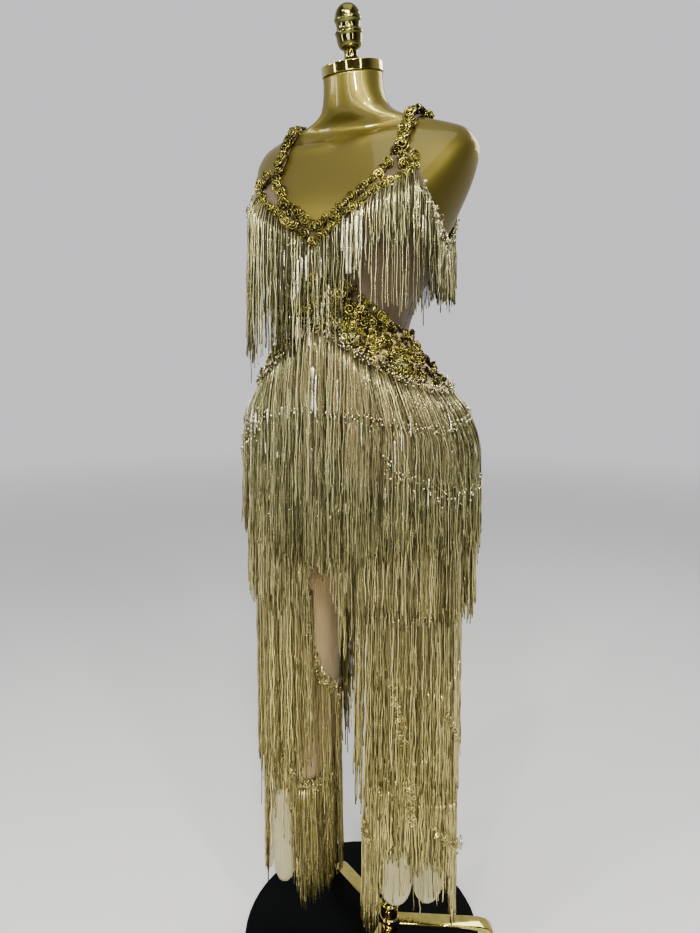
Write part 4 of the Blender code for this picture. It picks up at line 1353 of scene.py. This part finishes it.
def foil(turn, top, bottom, width, lift=HEADER_LIFT + 0.0080):
    """One flat strip on the torso as a grid of points."""
    strip = np.array([[turn], [top], [bottom], [lift]], float)
    paths, side, out, share = hang(torso, *strip, 0.030, FOIL_ROWS)
    twist = 0.5 * np.sin(share[0] * draw.uniform(2, 5) + draw.uniform(0, 6.28))
    across = side[0] * np.cos(twist)[:, None] + out[0] * np.sin(twist)[:, None]
    across = np.concatenate([across, np.zeros((FOIL_ROWS, 1))], axis=1) * width / 2
    return np.stack([paths[0] - across, paths[0] + across], axis=1)


# Each strip: its turn, its top and bottom in millimetres, and its width in tenths of one.
FOIL = (
    (16, 1262, 1216, 30), (19, 1258, 1186, 30), (21.5, 1250, 1186, 44), (24, 1266, 1190, 34),
    (27, 1256, 1205, 34), (31, 1290, 1262, 26), (-8, 1210, 1165, 26), (-12, 1195, 1155, 30),
    (-50, 1235, 1190, 30), (-28, 1170, 1130, 26), (6, 1150, 1118, 30), (-3, 1215, 1180, 24),
    (58, 1262, 1230, 22), (-46, 1010, 965, 34), (22, 985, 950, 26), (-18, 955, 925, 28),
    (-20, 1200, 1140, 24), (-34, 1215, 1135, 30), (-44, 1190, 1120, 26), (3, 1190, 1120, 26),
    (10, 1175, 1110, 26), (0, 1062, 1000, 60), (2, 1050, 990, 30), (-38, 990, 950, 40),
    (14, 1045, 1000, 24), (36, 960, 915, 30), (52, 905, 865, 30), (-14, 1030, 985, 24),
)
strips = []
for turn, top, bottom, width in FOIL:
    strips.append(foil(turn, top / 1000, bottom / 1000, width / 10000, HEADER_LIFT + 0.0085))
# Small ones are scattered. Each lot: how many, then between what their turns, tops, lengths and widths lie.
for count, turns, tops, lengths, widths in (
    (40, (-85, 11), (1.13, 1.225), (0.018, 0.055), (0.0016, 0.0030)),
    (60, (-180, 180), (0.86, 1.02), (0.012, 0.035), (0.0014, 0.0024)),
):
    for turn in draw.uniform(*turns, count):
        top = draw.uniform(*tops)
        strips.append(foil(turn, top, top - draw.uniform(*lengths), draw.uniform(*widths)))
index = np.arange(len(strips) * FOIL_ROWS * 2).reshape(len(strips), FOIL_ROWS, 2)
foils = piece_from(
    "foil_strips", strips, grid_faces(index), np.repeat(draw.uniform(0.0, 1.0, len(strips)), FOIL_ROWS * 2)
)
modify(foils, "SOLIDIFY", thickness=FOIL_WALL)
adopt(foils, tinsel, "fringe_gold")

# %% [markdown]
# ## Sequin headers
#
# Every tier hangs from a header of small cupped sequins. A sequin is a shallow cone with six sides.
# They are scattered along the header's line, tilted every way, so that a few of them always flash.

# %% Sequins
deselect_all()
bpy.ops.mesh.primitive_cone_add(vertices=6, radius1=0.0024, radius2=0, depth=0.0009, end_fill_type="TRIFAN")
SEQUIN = shape_of(bpy.context.object)


def sequin_places(chain, per_metre, width, lift):
    """Random places in a strip round a chain of points."""
    points, outs = chain
    along = distances(points)
    found = []
    for place in draw.uniform(0, along[-1], int(along[-1] * per_metre)):
        out = read_at(place, along, outs)
        point = read_at(place, along, points) + out * draw.uniform(0, lift) + (0, 0, draw.normal(0, width))
        out = out + draw.normal(0, 0.45, 3)
        found.append(stand_at(point, out, draw.uniform(0, 6.28), draw.uniform(0.7, 1.25)))
    return found


places = []
for sign in SIDES.values():
    chain = line_on(torso, below("neckline", ROW_DROP), 52 * sign, 128 * sign, ON_CLOTH)
    places += sequin_places(chain, 1500, 0.0045, 0.005)
trim = copies("armhole_sequins", SEQUIN, places)
adopt(trim, sequin, "sequin_trim", "armhole_trim_left", "armhole_trim_right")

# Each header: its level by turn, its first and last turn, its lift, sequins a metre, and its width.
places = []
for header, first, last, lift, per_metre, width in (
    (below("band_bottom", 0.004), -180, 180, 0.004, 1100, 0.0050),
    (second_top, -180, 180, 0.004, 600, 0.0050),
    (lower_second, -180, 180, 0.004, 160, 0.0060),
    (third_top, 30, 100, 0.008, 700, 0.0070),
    (third_top, -30, -100, 0.008, 700, 0.0070),
):
    chain = line_on(torso, header, first, last, HEADER_LIFT + lift)
    places += sequin_places(chain, per_metre, width, 0.006)
adopt(copies("header_sequins", SEQUIN, places), sequin, "sequin_trim")

# %% [markdown]
# On the legs the headers are lines of tiny wire loops, which wander down the front in slanting lines
# and close into a swirl. One loop is a thin ring; the copies overlap along the line, each tipped. Each
# of these lines is laid three times over. Some loops also lie on the armholes and, on the left, along
# the foot of the waist band.

# %% Wire loops
deselect_all()
bpy.ops.mesh.primitive_torus_add(major_segments=7, minor_segments=3, major_radius=0.0028, minor_radius=0.0006)
LOOP = shape_of(bpy.context.object)


def loop_places(tube, turns, levels, pitch, off, wander):
    """Loops along a line that runs through these turns and levels of a leg."""
    knots = np.linspace(0, 1, len(turns))
    fine = np.linspace(0, 1, 200)
    points, outs = tube.chain(np.interp(fine, knots, levels), np.interp(fine, knots, turns), off)
    return row_places(points, outs, pitch, wander, 0.6)


LEG_LINES = (            # the leg, the turns of a line and its levels in millimetres
    ("right", (-42, -46, -58, -72, -88), (650, 585, 545, 520, 500)),
    ("right", (-19, -19, -16, -28, -39, -48, -60, -80), (515, 455, 404, 372, 348, 336, 332, 334)),
    ("right", (60, 84, 100, 96), (500, 470, 455, 420)),
    ("left", (2, 8, 14, 12), (590, 560, 520, 490)),
    ("left", (22, 26, 24, 30), (430, 405, 380, 350)),
    ("left", (54, 70, 92, 116), (330, 300, 268, 250)),
    ("left", (66, 80, 86), (520, 500, 470)),
    ("left", (130, 160, 180), (500, 450, 440)),
)
SWIRL = (-40, 0.300)     # turn and level of its middle, on the left leg
LEG_WIDTH = 0.08         # the leg's radius there
places = []
for side, turns, levels in LEG_LINES:
    for _ in range(3):
        places += loop_places(legs[side], turns, np.array(levels) / 1000, 0.0026, LEG_LIFT + 0.0066, 0.0038)
angle = np.linspace(0, 6 * math.pi, 90)
reach = 0.004 + 0.014 * angle / angle[-1]
turns = SWIRL[0] + np.degrees(reach * np.cos(angle) / LEG_WIDTH)
levels = SWIRL[1] + reach * np.sin(angle)
places += loop_places(legs["left"], turns, levels, 0.0024, LEG_LIFT + 0.0080, 0.0008)
armhole = below("neckline", ROW_DROP + 0.001)
for sign in SIDES.values():
    points, outs = line_on(torso, armhole, 50 * sign, 130 * sign, ON_CLOTH + 0.003)
    places += row_places(points, outs, 0.0036, 0.0022, 0.7, 1.4)
points, outs = line_on(torso, below("band_bottom", -0.010), 4, 60, ON_CLOTH + 0.006)
places += row_places(points, outs, 0.0022, 0.0050, 0.8, 1.2)
adopt(copies("wire_loop_headers", LOOP, places), strand_gold, "fringe_gold")

# %% [markdown]
# ## The cut of each sheet
#
# For every sheet of cloth, the size it was cut to before it was hung is looked up: the smallest
# rectangle it could be cut from, and the area of the piece itself. They were measured on the finished
# pieces. A bodice half goes from side to side and from the neckline to the waist seam; a trouser
# quarter goes from the waist seam to the petals. A petal's width is that of its cloth before it was
# pleated.

CUT = {
    "bodice_cloth_front": (0.430, 0.260, 0.0730),
    "bodice_cloth_back": (0.406, 0.254, 0.0706),
    "strap_cloth": (0.016, 0.251, 0.0040),
    "trouser_cloth_front": (0.293, 0.812, 0.1890),
    "trouser_cloth_back": (0.293, 0.812, 0.1940),
    "petal_cloth_left": (0.088, 0.134, 0.0096),
    "petal_cloth_right": (0.088, 0.179, 0.0119),
}
for made, held, under in sheets:
    width, length, area = next(cut for name, cut in CUT.items() if made.name.startswith(name))
